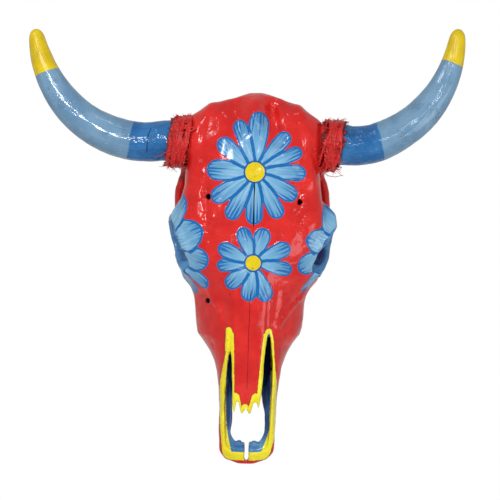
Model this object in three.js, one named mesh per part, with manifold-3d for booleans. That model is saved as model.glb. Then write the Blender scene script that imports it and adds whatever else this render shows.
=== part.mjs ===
// A painted cow skull that hangs on a wall, taken apart into its bones, teeth, horn sheaths and rope wraps.
// Millimetres, +Z up. The skull is drawn with x across, y back towards the wall from the plane of the
// forehead, and z up from the tip of the nose. The finished group is moved so that its origin is the nail.
import * as THREE from 'three';
import { mergeVertices } from 'three/addons/utils/BufferGeometryUtils.js';
import Module from 'manifold-3d';

const wasm = await Module();
wasm.setup();
const vec = (x, y, z) => new THREE.Vector3(x, y, z);

// Heights up the midline, each measured from the one before
const NOSE_TO_TUBER = 171;
const TUBER_TO_ORBIT = 120;
const ORBIT_TO_HORN = 128;
const HORN_TO_POLL = 64;
const TUBER_Z = NOSE_TO_TUBER;
const ORBIT_Z = TUBER_Z + TUBER_TO_ORBIT;
const HORN_Z = ORBIT_Z + ORBIT_TO_HORN;
const POLL_Z = HORN_Z + HORN_TO_POLL;

// Half widths of the head as seen from the front
const MUZZLE_HALF = 36;
const TUBER_HALF = 69;
const BROW_HALF = 99;
const TEMPLE_HALF = 82;

// Depths behind the plane of the forehead
const EDGE_Y = 43; // side edge of the forehead
const TUBER_Y = 80; // facial tuber
const PALATE_Y = 126; // back of the upper jaw
const WALL_Y = 151; // the wall, which the worn teeth and the jugular processes rest against

// Nose
const INCISIVE_BODY = 27; // top of the knobs that close the nose below
const INCISIVE_RIM = 19; // top of the rim before them
const NOSTRIL_HALF = 29; // half width of the nasal opening
const NOSTRIL_TOP = 6; // how far the opening rises above the facial tuber
const NASAL_TIP_Z = 68;
const NASAL_HALF = 21.5; // half width of the two nasal bones together, at the top of the opening
const NASAL_TIP_HALF = 17; // and at their free ends
const NASAL_DRIFT = 2.5; // the free ends of the nasal bones lean to one side
const ROOF_WALL = 7;
const FISSURE_TOP = 92; // top of the gap in the palate behind the nose
const FISSURE_NARROWING = 3; // the gap is narrower than the nasal opening by this much on each side
const INCISIVE_SLIT = 5;
const SLIT_FOOT = 4; // the two bones meet below the slit

// Eye sockets
const ORBIT_X = 92;
const ORBIT_Y = 54;
const ORBIT_BORE = 29;
const ORBIT_RIM = 9; // width of the ring of bone round the socket
const ORBIT_DEPTH = 56;

// Back of the head
const BRAIN_HALF = 63;
const BRAIN_WALL = 15;
const NUCHAL_SLOPE = 36 * THREE.MathUtils.DEG2RAD; // fall of the neck face, below the horizontal
const NUCHAL_HALF = 82;
const NUCHAL_THICK = 18;
const FORAMEN_RADIUS = 19;
const BASE_HALF = 44; // suture of the skull's floor and side, from the midline
const ARCH_X = 97; // cheek arch, from the midline

// Teeth, from the nose upwards: length along the row and width across it
const TEETH = [
  { name: 'premolar_1', length: 16, width: 15 },
  { name: 'premolar_2', length: 18, width: 18 },
  { name: 'premolar_3', length: 19, width: 20 },
  { name: 'molar_1', length: 24, width: 23, lobed: true },
  { name: 'molar_2', length: 26, width: 24, lobed: true },
  { name: 'molar_3', length: 27, width: 23, lobed: true },
];
const TOOTH_ROW_BELOW_TUBER = 32;
const TOOTH_ROW_X = [41, 51]; // first and last tooth, from the midline
const TOOTH_ROOT = 18; // depth of the root in its socket
const TOOTH_SPACING = 0.6;

// Horns: the curve's handles and tip, as shares of the reach from the midline and of the rise from the root
const HORN_REACH = 285.5;
const HORN_RISE = 152;
const HORNS = {
  left: { side: -1, out: [0.666, -0.072], lift: [0.942, 0.217], tip: [1, 0.908] },
  right: { side: 1, out: [0.651, -0.013], lift: [0.9, 0.329], tip: [0.911, 1] },
};
const HORN_START_X = 70;
const HORN_BEND_X = 122; // the horn is straight up to here
const HORN_TIP_Y = 27;
const HORN_RADIUS = 27;
const HORN_TIP_RADIUS = 9;
const HORN_WALL = 6;
const BOSS_REACH = 30; // bony root of the horn, up to the mouth of the sheath
const CORE_LENGTH = 130; // bony core inside the sheath
const CORE_TIP_RADIUS = 7;

// Rope wrap over the joint of horn and skull
const ROPE_DIAMETER = 5.5;
const ROPE_TURNS = 3.5;
const ROPE_PITCH = 6.1;
const ROPE_START = 22.5; // along the horn, from its start

// Clearances
const SUTURE = 0.4; // gap between two bones
const SMOOTHING = 0.27; // how far a surface may move when its facets are thinned out
const SEAT = 0.35; // gap of a tooth in its socket, a sheath on its core and a rope on its horn

const PAINT = {
  red: { color: 0xd92a24, roughness: 0.22 },
  blue: { color: 0x7fa9d0, roughness: 0.25 },
  rope: { color: 0xc4211f, roughness: 0.6 },
  ivory: { color: 0xd8c9a6, roughness: 0.45 },
};

// A smooth curve through [place, value] points that never overshoots them
function profile(points) {
  const slopes = points.slice(1).map(([at, value], i) => (value - points[i][1]) / (at - points[i][0]));
  const tangents = points.map((_, i) => {
    if (i === 0) return slopes[0];
    if (i === points.length - 1) return slopes[i - 1];
    const product = slopes[i - 1] * slopes[i];
    return product > 0 ? (2 * product) / (slopes[i - 1] + slopes[i]) : 0;
  });
  return (at) => {
    const last = points.length - 2;
    const found = points.findIndex((_, i) => i <= last && at < points[i + 1][0]);
    const i = found < 0 ? last : found;
    const span = points[i + 1][0] - points[i][0];
    const t = THREE.MathUtils.clamp((at - points[i][0]) / span, 0, 1);
    const [start, end] = [points[i][1], points[i + 1][1]];
    return (
      start * (1 + 2 * t) * (1 - t) ** 2 +
      span * tangents[i] * t * (1 - t) ** 2 +
      end * t * t * (3 - 2 * t) +
      span * tangents[i + 1] * t * t * (t - 1)
    );
  };
}

const steps = (from, to, count) => Array.from({ length: count + 1 }, (_, i) => from + ((to - from) * i) / count);
const signedPower = (value, power) => Math.sign(value) * Math.abs(value) ** power;

// A closed geometry as a solid, with its faces pointing out
function solid(geometry) {
  const bare = geometry.clone();
  bare.deleteAttribute('normal');
  bare.deleteAttribute('uv');
  const merged = mergeVertices(bare, 1e-4);
  const corners = merged.index.array;
  const triVerts = [];
  for (let i = 0; i < corners.length; i += 3) {
    const [a, b, c] = [corners[i], corners[i + 1], corners[i + 2]];
    if (a !== b && b !== c && c !== a) triVerts.push(a, b, c);
  }
  const make = (triangles) =>
    new wasm.Manifold(
      new wasm.Mesh({
        numProp: 3,
        vertProperties: new Float32Array(merged.attributes.position.array),
        triVerts: new Uint32Array(triangles),
      }),
    );
  const made = make(triVerts);
  return made.volume() > 0 ? made : make(triVerts.reverse());
}

// A solid skinned over rings of points, closed at both ends, or joined end to start
function loft(rings, joined = false) {
  const count = rings[0].length;
  const points = rings.flat();
  const triangles = [];
  const spans = joined ? rings.length : rings.length - 1;
  for (let r = 0; r < spans; r += 1) {
    const next = ((r + 1) % rings.length) * count;
    for (let i = 0; i < count; i += 1) {
      const j = (i + 1) % count;
      triangles.push(r * count + i, r * count + j, next + j, r * count + i, next + j, next + i);
    }
  }
  if (!joined) {
    [0, rings.length - 1].forEach((r) => {
      const centre = points.length;
      points.push(rings[r].reduce((sum, p) => sum.add(p), vec(0, 0, 0)).divideScalar(count));
      for (let i = 0; i < count; i += 1) {
        const [a, b] = [r * count + i, r * count + ((i + 1) % count)];
        triangles.push(...(r === 0 ? [centre, b, a] : [centre, a, b]));
      }
    });
  }
  return solid(new THREE.BufferGeometry().setFromPoints(points).setIndex(triangles));
}

const unite = (...solids) => solids.reduce((sum, next) => sum.add(next));

// The one body of a cut: slivers left beside it along a seam are thrown away
function mainBody(cut) {
  const bodies = cut.decompose();
  return bodies.reduce((best, next) => (next.volume() > best.volume() ? next : best));
}

function ellipsoid(x, y, z, rx, ry, rz, detail = 16) {
  const ball = new THREE.SphereGeometry(1, detail, Math.round(detail * 0.7));
  return solid(ball.scale(rx, ry, rz).translate(x, y, z));
}

// An outline drawn in the front view (x, z) or in the side view (y, z), cut through the head as a prism
const VIEW = {
  front: new THREE.Matrix4().makeBasis(vec(1, 0, 0), vec(0, 0, 1), vec(0, -1, 0)),
  side: new THREE.Matrix4().makeBasis(vec(0, 1, 0), vec(0, 0, 1), vec(1, 0, 0)),
};

function prism(view, shape, from, to) {
  const geometry = new THREE.ExtrudeGeometry(shape, { depth: to - from, bevelEnabled: false, curveSegments: 3 });
  geometry.applyMatrix4(VIEW[view]);
  return solid(view === 'front' ? geometry.translate(0, to, 0) : geometry.translate(from, 0, 0));
}

const point = ([a, b]) => new THREE.Vector2(a, b);

// A closed outline: a smooth curve through the first points, and straight lines through the corners
function outline(curved, corners = []) {
  const shape = new THREE.Shape().moveTo(...curved[0]);
  shape.splineThru(curved.slice(1).map(point));
  corners.forEach((corner) => shape.lineTo(...corner));
  return shape;
}

// A tube of varying radius along a curve, with a ring at each distance along it
function taperedSweep(curve, distances, radiusAt, sides) {
  const length = curve.getLength();
  const rings = distances.map((at) => {
    const u = THREE.MathUtils.clamp(at / length, 0, 1);
    const centre = curve.getPointAt(u);
    const along = curve.getTangentAt(u);
    const across = vec(0, 1, 0).cross(along).normalize();
    const depth = along.clone().cross(across);
    const [wide, deep] = [radiusAt(at)].flat();
    return steps(0, 2 * Math.PI, sides).slice(1).map((angle) =>
      centre.clone().addScaledVector(across, wide * Math.cos(angle)).addScaledVector(depth, (deep ?? wide) * Math.sin(angle)),
    );
  });
  return loft(rings);
}

// Head: one loft from the nose to the poll, whose sections are two half super-ellipses
const halfWidth = profile([
  [0, 12],
  [6, MUZZLE_HALF - 9],
  [20, MUZZLE_HALF],
  [NASAL_TIP_Z + 18, MUZZLE_HALF + 1.5],
  [TUBER_Z - 48, MUZZLE_HALF + 6.5],
  [TUBER_Z - 20, TUBER_HALF - 15],
  [TUBER_Z, TUBER_HALF],
  [TUBER_Z + 52, TUBER_HALF + 6],
  [ORBIT_Z - 46, BROW_HALF - 8],
  [ORBIT_Z - 27, BROW_HALF - 4],
  [ORBIT_Z + 24, BROW_HALF],
  [ORBIT_Z + 63, TEMPLE_HALF + 8],
  [HORN_Z - 36, TEMPLE_HALF + 4],
  [HORN_Z + 18, TEMPLE_HALF],
  [POLL_Z - 29, TEMPLE_HALF - 5],
  [POLL_Z - 20, 65],
  [POLL_Z - 9, 44],
  [POLL_Z, 8],
]);
const frontDepth = profile([
  [0, 52],
  [20, 40],
  [NASAL_TIP_Z, 14],
  [TUBER_Z - 58, 4],
  [ORBIT_Z, 2],
  [HORN_Z - 18, 1],
  [HORN_Z + 24, 6],
  [POLL_Z - 18, 15],
  [POLL_Z - 6, 26],
  [POLL_Z, 38],
]);
const widestDepth = profile([
  [0, 59],
  [30, 50],
  [TUBER_Z - 68, 56],
  [TUBER_Z, TUBER_Y],
  [ORBIT_Z - 53, TUBER_Y - 8],
  [ORBIT_Z + 7, EDGE_Y + 12],
  [ORBIT_Z + 57, EDGE_Y],
  [POLL_Z, EDGE_Y + 2],
]);
const backDepth = profile([
  [0, 66],
  [30, 72],
  [TUBER_Z - 88, 82],
  [TUBER_Z - 36, PALATE_Y - 10],
  [TUBER_Z, PALATE_Y - 2],
  [ORBIT_Z - 25, PALATE_Y],
  [ORBIT_Z - 8, PALATE_Y - 26],
  [ORBIT_Z + 7, EDGE_Y + 30],
  [ORBIT_Z + 37, EDGE_Y + 23],
  [HORN_Z, EDGE_Y + 21],
  [POLL_Z - 10, EDGE_Y + 19],
  [POLL_Z, EDGE_Y + 9],
]);
const frontPower = profile([
  [0, 2.2],
  [80, 2.6],
  [TUBER_Z - 40, 2.1],
  [TUBER_Z, 1.55],
  [ORBIT_Z - 50, 1.7],
  [ORBIT_Z + 17, 3],
  [HORN_Z, 2.7],
  [POLL_Z, 2.2],
]);
const backPower = profile([
  [0, 2.5],
  [TUBER_Z, 3.2],
  [ORBIT_Z - 20, 3],
  [ORBIT_Z + 40, 2.4],
]);

// Low swellings and hollows of the forehead: place, reach across and up, and how far each stands forward
const RELIEF = [
  { x: 0, z: POLL_Z - 30, across: 15, up: 26, height: 7 },
  { x: 27, z: POLL_Z - 24, across: 13, up: 22, height: -4 },
  { x: 59, z: ORBIT_Z + 58, across: 8, up: 40, height: -3.5 },
  { x: 40, z: HORN_Z - 10, across: 22, up: 34, height: 3 },
  { x: 0, z: ORBIT_Z + 12, across: 34, up: 36, height: -2.5 },
  { x: 54, z: ORBIT_Z - 58, across: 15, up: 22, height: -3 },
];
const relief = (x, z) =>
  RELIEF.reduce((sum, boss) => {
    const fall = ((Math.abs(x) - boss.x) / boss.across) ** 2 + ((z - boss.z) / boss.up) ** 2;
    return sum + boss.height * Math.exp(-fall);
  }, 0);

function headRing(z, sides) {
  const [wide, centre] = [halfWidth(z), widestDepth(z)];
  return steps(0, 2 * Math.PI, sides).slice(1).map((angle) => {
    const [across, deep] = [Math.cos(angle), Math.sin(angle)];
    const facing = deep < 0;
    const power = 2 / (facing ? frontPower(z) : backPower(z));
    const reach = facing ? centre - frontDepth(z) : backDepth(z) - centre;
    const x = wide * signedPower(across, power);
    const y = centre + reach * signedPower(deep, power);
    return vec(x, facing ? y - relief(x, z) * Math.abs(deep) : y, z);
  });
}

const HEAD_SIDES = 36;
const headStations = [...steps(0, 24, 4), ...steps(36, POLL_Z - 36, 34), ...steps(POLL_Z - 27, POLL_Z, 5)];
const head = loft(headStations.map((z) => headRing(z, HEAD_SIDES)));

// Nasal passage, open at the front through the nostril and behind the nose through the palate
const passageHalf = profile([
  [INCISIVE_BODY, MUZZLE_HALF - 18],
  [INCISIVE_BODY + 8, MUZZLE_HALF - 11],
  [INCISIVE_BODY + 20, MUZZLE_HALF - 8],
  [NASAL_TIP_Z + 4, MUZZLE_HALF - 11],
  [FISSURE_TOP, MUZZLE_HALF - 14.5],
  [TUBER_Z - 38, MUZZLE_HALF - 4],
  [TUBER_Z, MUZZLE_HALF + 2],
  [ORBIT_Z - 53, MUZZLE_HALF + 4],
  [ORBIT_Z - 21, MUZZLE_HALF - 4],
]);
const passageFloor = profile([
  [FISSURE_TOP, 76],
  [TUBER_Z - 38, PALATE_Y - 32],
  [TUBER_Z, PALATE_Y - 18],
  [ORBIT_Z - 21, PALATE_Y - 13],
]);

function passageRing(z) {
  const front = frontDepth(z) + ROOF_WALL;
  const back = z < FISSURE_TOP ? PALATE_Y : passageFloor(z);
  const centre = (front + back) / 2;
  return steps(0, 2 * Math.PI, 24).slice(1).map((angle) => {
    const deep = signedPower(Math.sin(angle), 0.75);
    const narrowing = z < FISSURE_TOP ? FISSURE_NARROWING * (1 + deep) : 0;
    return vec(
      (passageHalf(z) - narrowing) * signedPower(Math.cos(angle), 0.75),
      centre + ((back - front) / 2) * deep,
      z,
    );
  });
}

const passageStations = [
  ...steps(INCISIVE_BODY, INCISIVE_BODY + 8, 2),
  ...steps(INCISIVE_BODY + 16, FISSURE_TOP - 0.5, 4),
  ...steps(FISSURE_TOP + 0.5, ORBIT_Z - 21, 11),
];
const passage = loft(passageStations.map(passageRing));

// Throat end of the passage, behind the palate, and the hollow of the palate between the teeth
const choana = ellipsoid(0, PALATE_Y + 2, ORBIT_Z - 6, 17, 30, 35, 14);
const palateHollow = ellipsoid(0, PALATE_Y + 9, TUBER_Z + 18, 27, 14, 92, 16);

// Eye sockets: a ring of bone and a tapering hollow, both turned about an axis that looks out and down
const ORBIT_AXIS = vec(0.9, -0.27, -0.33).normalize();

function orbitLathe(points) {
  const turned = new THREE.LatheGeometry(points.map(point), 22);
  turned.applyQuaternion(new THREE.Quaternion().setFromUnitVectors(vec(0, 1, 0), ORBIT_AXIS));
  return solid(turned.translate(ORBIT_X, ORBIT_Y, ORBIT_Z));
}

const orbitBar = orbitLathe([
  [ORBIT_BORE - 3, -20],
  [ORBIT_BORE - 1, 2],
  [ORBIT_BORE + ORBIT_RIM * 0.45, 5],
  [ORBIT_BORE + ORBIT_RIM, 0],
  [ORBIT_BORE + ORBIT_RIM, -10],
  [ORBIT_BORE + ORBIT_RIM * 0.5, -20],
  [ORBIT_BORE - 3, -20],
]);
// In front, the ring spreads into the forehead and the face
const orbitFlare = orbitLathe([
  [0, -40],
  [0, 2],
  [ORBIT_BORE + ORBIT_RIM * 0.45, 5],
  [ORBIT_BORE + ORBIT_RIM, 0],
  [ORBIT_BORE + ORBIT_RIM + 6, -18],
  [ORBIT_BORE + ORBIT_RIM + 8, -40],
  [0, -40],
]).trimByPlane([0, -1, 0], -ORBIT_Y);
const orbitRing = orbitBar.add(orbitFlare);
const orbitHollow = orbitLathe([
  [0, -ORBIT_DEPTH],
  [ORBIT_BORE * 0.4, -ORBIT_DEPTH + 3],
  [ORBIT_BORE * 0.75, -ORBIT_DEPTH * 0.62],
  [ORBIT_BORE * 0.96, -ORBIT_DEPTH * 0.3],
  [ORBIT_BORE, 5],
  [ORBIT_BORE * 1.35, 30],
  [0, 30],
]);

// Back of the head
const BRAIN_Y = 90;
const BRAIN_Z = HORN_Z - 46;
const BRAIN_DEEP = 46;
const BRAIN_TALL = 62;
const brainCase = ellipsoid(0, BRAIN_Y, BRAIN_Z, BRAIN_HALF, BRAIN_DEEP, BRAIN_TALL, 18);
const brainHollow = ellipsoid(
  0,
  BRAIN_Y - 2,
  BRAIN_Z + 3,
  BRAIN_HALF - BRAIN_WALL,
  BRAIN_DEEP - BRAIN_WALL,
  BRAIN_TALL - BRAIN_WALL,
  14,
);

// The neck face is a shield that falls from the poll to the condyles
const nuchalStart = vec(0, EDGE_Y + 2, POLL_Z - 7);
const nuchalDown = vec(0, Math.cos(NUCHAL_SLOPE), -Math.sin(NUCHAL_SLOPE));
const nuchalOut = vec(0, Math.sin(NUCHAL_SLOPE), Math.cos(NUCHAL_SLOPE));
const onNuchal = (x, down, out = 0) =>
  nuchalStart.clone().addScaledVector(nuchalDown, down).addScaledVector(nuchalOut, out).setX(x);

const NUCHAL_LENGTH = 116;
const nuchalHalf = [
  [NUCHAL_HALF * 0.5, 0],
  [NUCHAL_HALF - 16, 24],
  [NUCHAL_HALF, 56],
  [NUCHAL_HALF, 80],
  [NUCHAL_HALF - 26, 101],
  [NUCHAL_HALF * 0.4, NUCHAL_LENGTH - 4],
];
const nuchalOutline = new THREE.SplineCurve([
  ...nuchalHalf.map(point),
  ...nuchalHalf.map(([x, down]) => point([-x, down])).reverse(),
]).getPoints(26);
const nuchalShield = loft(
  [-NUCHAL_THICK, -NUCHAL_THICK * 0.3, 0].map((out) =>
    nuchalOutline.map(({ x, y }) => onNuchal(out < 0 ? x : x * 0.95, out < 0 ? y : y + 2, out)),
  ),
);

// A knob in the middle of the neck face, between two hollows for the neck's muscles
const nuchalKnob = ellipsoid(...onNuchal(0, 38, -9).toArray(), 17, 16, 16, 12);
const nuchalHollow = ellipsoid(...onNuchal(38, 50, 19).toArray(), 33, 25, 25, 14);

const archPath = new THREE.CatmullRomCurve3([
  vec(ARCH_X - 14, 104, HORN_Z - 26),
  vec(ARCH_X, 105, HORN_Z - 58),
  vec(ARCH_X + 1, 102, ORBIT_Z + 30),
  vec(ARCH_X - 1, 92, ORBIT_Z - 4),
  vec(ARCH_X - 9, 80, ORBIT_Z - 29),
]);
const archLength = archPath.getLength();
const archSize = profile([
  [0, 8],
  [archLength * 0.5, 6],
  [archLength, 10],
]);
const cheekArch = taperedSweep(archPath, steps(0, archLength, 11), (at) => [archSize(at), archSize(at) * 1.9], 10);
// The arch springs from a wide root, which a crest joins to the edge of the neck face
const archRoot = ellipsoid(ARCH_X - 36, 102, HORN_Z - 34, 37, 15, 19, 12);
const temporalCrest = ellipsoid(ARCH_X - 26, 95, HORN_Z - 20, 26, 18, 34, 14);
const earCapsule = ellipsoid(BRAIN_HALF - 14, 120, HORN_Z - 46, 11, 20, 20, 12);
const condyle = ellipsoid(24, 124, HORN_Z - 12, 16, 19, 24, 12);

// Floor of the skull, from the palate to the neck, with a pair of knobs for the neck's muscles
const baseKnob = ellipsoid(12, PALATE_Y + 6, HORN_Z - 44, 12, 9, 20, 10);
const baseSections = [
  { z: ORBIT_Z - 35, half: 34, front: 98, back: PALATE_Y + 2 },
  { z: ORBIT_Z + 8, half: 25, front: 60, back: PALATE_Y + 4 },
  { z: ORBIT_Z + 46, half: 30, front: 60, back: PALATE_Y + 6 },
  { z: HORN_Z - 38, half: 27, front: 100, back: PALATE_Y + 12 },
  { z: HORN_Z - 8, half: 24, front: 116, back: PALATE_Y + 13 },
];
const skullBase = loft(
  baseSections.map(({ z, half, front, back }) =>
    steps(0, 2 * Math.PI, 20).slice(1).map((angle) =>
      vec(
        half * signedPower(Math.cos(angle), 0.8),
        (front + back) / 2 + ((back - front) / 2) * signedPower(Math.sin(angle), 0.8),
        z,
      ),
    ),
  ),
);

// Spinal opening in the neck face, which takes the nail
const FORAMEN_AXIS = vec(0, 0.64, 0.77).normalize();
const FORAMEN_CENTRE = vec(0, 122, HORN_Z - 2);
const foramen = solid(
  new THREE.CylinderGeometry(FORAMEN_RADIUS, FORAMEN_RADIUS - 3, 70, 20)
    .applyQuaternion(new THREE.Quaternion().setFromUnitVectors(vec(0, 1, 0), FORAMEN_AXIS))
    .translate(...FORAMEN_CENTRE.toArray()),
);
// The nail bears on the forehead side of the opening's rim
const NAIL = FORAMEN_CENTRE.clone().addScaledVector(vec(0, -FORAMEN_AXIS.z, FORAMEN_AXIS.y), FORAMEN_RADIUS);

// Jugular processes, which reach back to the wall
const jugularPath = new THREE.LineCurve3(vec(48, 112, HORN_Z - 16), vec(54, WALL_Y, HORN_Z - 26));
const jugularSweep = (grow) =>
  taperedSweep(jugularPath, steps(0, jugularPath.getLength(), 1), (at) => [15 - at * 0.22 + grow, 10 - at * 0.12 + grow], 12);
const jugular = jugularSweep(0);

// One half of the head, x > 0, whose bones are cut apart along the sutures. The other half mirrors it.
const FAR = 160;
const outFrom = (x) => solid(new THREE.BoxGeometry(FAR, FAR * 3, FAR * 6).translate(x + FAR / 2, 0, POLL_Z / 2));
const half = outFrom(SUTURE / 2);

// A copy of a solid with each of its points moved
function moved(made, move) {
  const mesh = made.getMesh();
  const points = Array.from({ length: mesh.numVert }, (_, i) =>
    move(vec(...mesh.vertProperties.slice(i * mesh.numProp, i * mesh.numProp + 3))),
  );
  return solid(new THREE.BufferGeometry().setFromPoints(points).setIndex([...mesh.triVerts]));
}

const mirrored = (right) => moved(right, ({ x, y, z }) => vec(-x, y, z));

const bothSides = (right) => right.add(mirrored(right));
const headShell = unite(head, bothSides(orbitRing), brainCase, nuchalShield, nuchalKnob, skullBase)
  .subtract(bothSides(nuchalHollow))
  .add(bothSides(unite(cheekArch, archRoot, temporalCrest, earCapsule, condyle, baseKnob)))
  .subtract(passage)
  .subtract(choana)
  .subtract(palateHollow)
  .subtract(brainHollow)
  .subtract(foramen)
  .subtract(bothSides(orbitHollow));

// A suture cuts a piece out of what is left and leaves the gap of the suture round it
function cutOut(rest, region) {
  return { piece: rest.intersect(region(0)), rest: rest.subtract(region(SUTURE)) };
}

// Suture between the forehead and the face, from the midline out over the eye socket
const browSuture = (drop) =>
  [
    [-1, ORBIT_Z - 33],
    [13, ORBIT_Z - 41],
    [25, ORBIT_Z - 53],
    [44, ORBIT_Z - 31],
    [66, ORBIT_Z - 21],
    [86, ORBIT_Z + 1],
    [FAR, ORBIT_Z + 6],
  ].map(([x, z]) => [x, z - drop]);
// Suture between the forehead and the back of the head, in the side view
const crownSuture = (grow) =>
  [
    [EDGE_Y + 8, POLL_Z + 20],
    [EDGE_Y + 8, POLL_Z - 8],
    [EDGE_Y + 28, HORN_Z + 20],
    [EDGE_Y + 29, HORN_Z - 26],
    [EDGE_Y + 43, ORBIT_Z + 46],
    [EDGE_Y + 43, ORBIT_Z - 70],
  ].map(([y, z]) => [y + grow, z]);
const frontalRegion = (grow) => {
  const above = outline(browSuture(grow), [
    [FAR, POLL_Z + 30],
    [-1, POLL_Z + 30],
  ]);
  const before = outline(crownSuture(grow), [
    [-60, ORBIT_Z - 70],
    [-60, POLL_Z + 20],
  ]);
  return prism('front', above, -60, FAR).intersect(prism('side', before, -1, FAR));
};

// Outline of the right nasal bone, down to its forked end
const nasalRegion = (grow) => {
  const shape = outline(
    [
      [25 + grow, ORBIT_Z - 40],
      [24 + grow, ORBIT_Z - 74],
      [NASAL_HALF + 1 + grow, TUBER_Z + 4],
      [NASAL_HALF - 2 + grow, TUBER_Z - 50],
      [NASAL_TIP_HALF + 1 + grow, NASAL_TIP_Z + 18 - grow],
      [NASAL_TIP_HALF - 0.5 + grow, NASAL_TIP_Z + 5 - grow],
    ],
    [
      [NASAL_TIP_HALF - 2.5, NASAL_TIP_Z + 8],
      [NASAL_TIP_HALF - 4, NASAL_TIP_Z + 26],
      [NASAL_TIP_HALF - 5.5, NASAL_TIP_Z + 25],
      [NASAL_TIP_HALF - 11, NASAL_TIP_Z + 1],
      [NASAL_TIP_HALF - 13, NASAL_TIP_Z],
      [SUTURE, NASAL_TIP_Z + 12],
      [-1, NASAL_TIP_Z + 12],
      [-1, ORBIT_Z],
      [25 + grow, ORBIT_Z],
    ],
  );
  return prism('front', shape, -40, 27);
};

// The nasal opening seen from the front, past the nasal bones
const nostril = prism(
  'front',
  outline(
    [
      [-1, TUBER_Z - 6],
      [NASAL_HALF + 1, TUBER_Z - 4],
      [NOSTRIL_HALF - 3, TUBER_Z + NOSTRIL_TOP],
      [NOSTRIL_HALF, TUBER_Z - 8],
      [NOSTRIL_HALF + 1, TUBER_Z - 70],
      [NOSTRIL_HALF - 1, INCISIVE_RIM + 12],
      [NOSTRIL_HALF - 9, INCISIVE_RIM],
      [10, INCISIVE_RIM - 2],
    ],
    [[-1, INCISIVE_RIM - 2]],
  ),
  -40,
  47,
);
const incisiveSlit = solid(new THREE.BoxGeometry(INCISIVE_SLIT, 200, INCISIVE_BODY).translate(0, 60, INCISIVE_BODY / 2 + SLIT_FOOT));

const incisiveRegion = (grow) =>
  prism(
    'side',
    outline(
      [
        [140, TUBER_Z - 92 + grow],
        [88, TUBER_Z - 88 + grow],
        [52, TUBER_Z - 62 + grow],
        [34, TUBER_Z - 12 + grow],
        [-20, TUBER_Z + 2 + grow],
      ],
      [
        [-20, -20],
        [140, -20],
      ],
    ),
    -1,
    FAR,
  );
const lacrimalRegion = (grow) =>
  prism(
    'front',
    outline(
      [
        [20, ORBIT_Z - 60],
        [42, ORBIT_Z - 88 - grow],
        [62, ORBIT_Z - 70 - grow],
        [84 + grow, ORBIT_Z - 43],
        [104 + grow, ORBIT_Z - 24],
      ],
      [
        [104 + grow, ORBIT_Z + 20],
        [20, ORBIT_Z + 20],
      ],
    ),
    -40,
    46 + grow,
  );
const zygomaticRegion = (grow) =>
  prism(
    'front',
    outline(
      [
        [FAR, ORBIT_Z - 108 - grow],
        [70 - grow, ORBIT_Z - 100 - grow],
        [62 - grow, ORBIT_Z - 66],
        [70 - grow, ORBIT_Z - 34],
        [74 - grow, ORBIT_Z + 10],
      ],
      [
        [80 - grow, ORBIT_Z + 26 + grow],
        [FAR, ORBIT_Z + 26 + grow],
      ],
    ),
    -40,
    PALATE_Y - 13 + grow,
  );
const maxillaRegion = (grow) => {
  const below = outline([
    [-60, ORBIT_Z - 4 + grow],
    [PALATE_Y - 40, ORBIT_Z + 2 + grow],
    [PALATE_Y + 40, ORBIT_Z + 6 + grow],
  ], [
    [PALATE_Y + 40, -20],
    [-60, -20],
  ]);
  return prism('side', below, -1, FAR);
};
const palatineRegion = (grow) =>
  prism(
    'front',
    outline(
      [
        [-1, ORBIT_Z - 62 - grow],
        [18, ORBIT_Z - 58 - grow],
        [31 + grow, ORBIT_Z - 38],
        [30 + grow, ORBIT_Z],
      ],
      [
        [26 + grow, ORBIT_Z + 20 + grow],
        [-1, ORBIT_Z + 20 + grow],
      ],
    ),
    PALATE_Y - 22 - grow,
    PALATE_Y + 60,
  );
const occipitalRegion = (grow) => {
  const depth = -NUCHAL_THICK - 4 - grow;
  const corners = [onNuchal(0, -80, depth), onNuchal(0, 160, depth), onNuchal(0, 160, 90), onNuchal(0, -80, 90)];
  const shield = new THREE.Shape(corners.map(({ y, z }) => point([y, z])));
  const floor = new THREE.Shape([
    point([-20, BRAIN_Z - 12 - grow]),
    point([220, BRAIN_Z - 12 - grow]),
    point([220, POLL_Z]),
    point([-20, POLL_Z]),
  ]);
  return prism('side', shield, -1, FAR).add(prism('side', floor, -1, BASE_HALF + grow));
};
const temporalRegion = (grow) => outFrom(BASE_HALF - grow);

const rightShell = headShell.intersect(outFrom(-SUTURE));
const afterFrontal = cutOut(rightShell, frontalRegion);
const afterNasal = cutOut(afterFrontal.rest, nasalRegion);
const openNose = afterNasal.rest.subtract(bothSides(nostril)).subtract(incisiveSlit);
const afterIncisive = cutOut(openNose, incisiveRegion);
const afterLacrimal = cutOut(afterIncisive.rest, lacrimalRegion);
const afterZygomatic = cutOut(afterLacrimal.rest, zygomaticRegion);
const afterPalatine = cutOut(afterZygomatic.rest, palatineRegion);
const afterMaxilla = cutOut(afterPalatine.rest, maxillaRegion);
const afterOccipital = cutOut(afterMaxilla.rest, occipitalRegion);
const afterTemporal = cutOut(afterOccipital.rest, temporalRegion);

// Teeth, each on a root in its own socket
function toothRing({ length, width, lobed }, x, z, y, size, grow) {
  return steps(0, 2 * Math.PI, 16).slice(1).map((angle) => {
    const along = (length / 2) * size * signedPower(Math.sin(angle), 0.6);
    const waist = lobed ? 1 - 0.16 * Math.exp(-((along / (length * 0.14)) ** 2)) : 1;
    const across = (width / 2) * size * waist * signedPower(Math.cos(angle), 0.7);
    return vec(x + across + Math.sign(across) * grow, y, z + along + Math.sign(along) * grow);
  });
}

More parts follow.
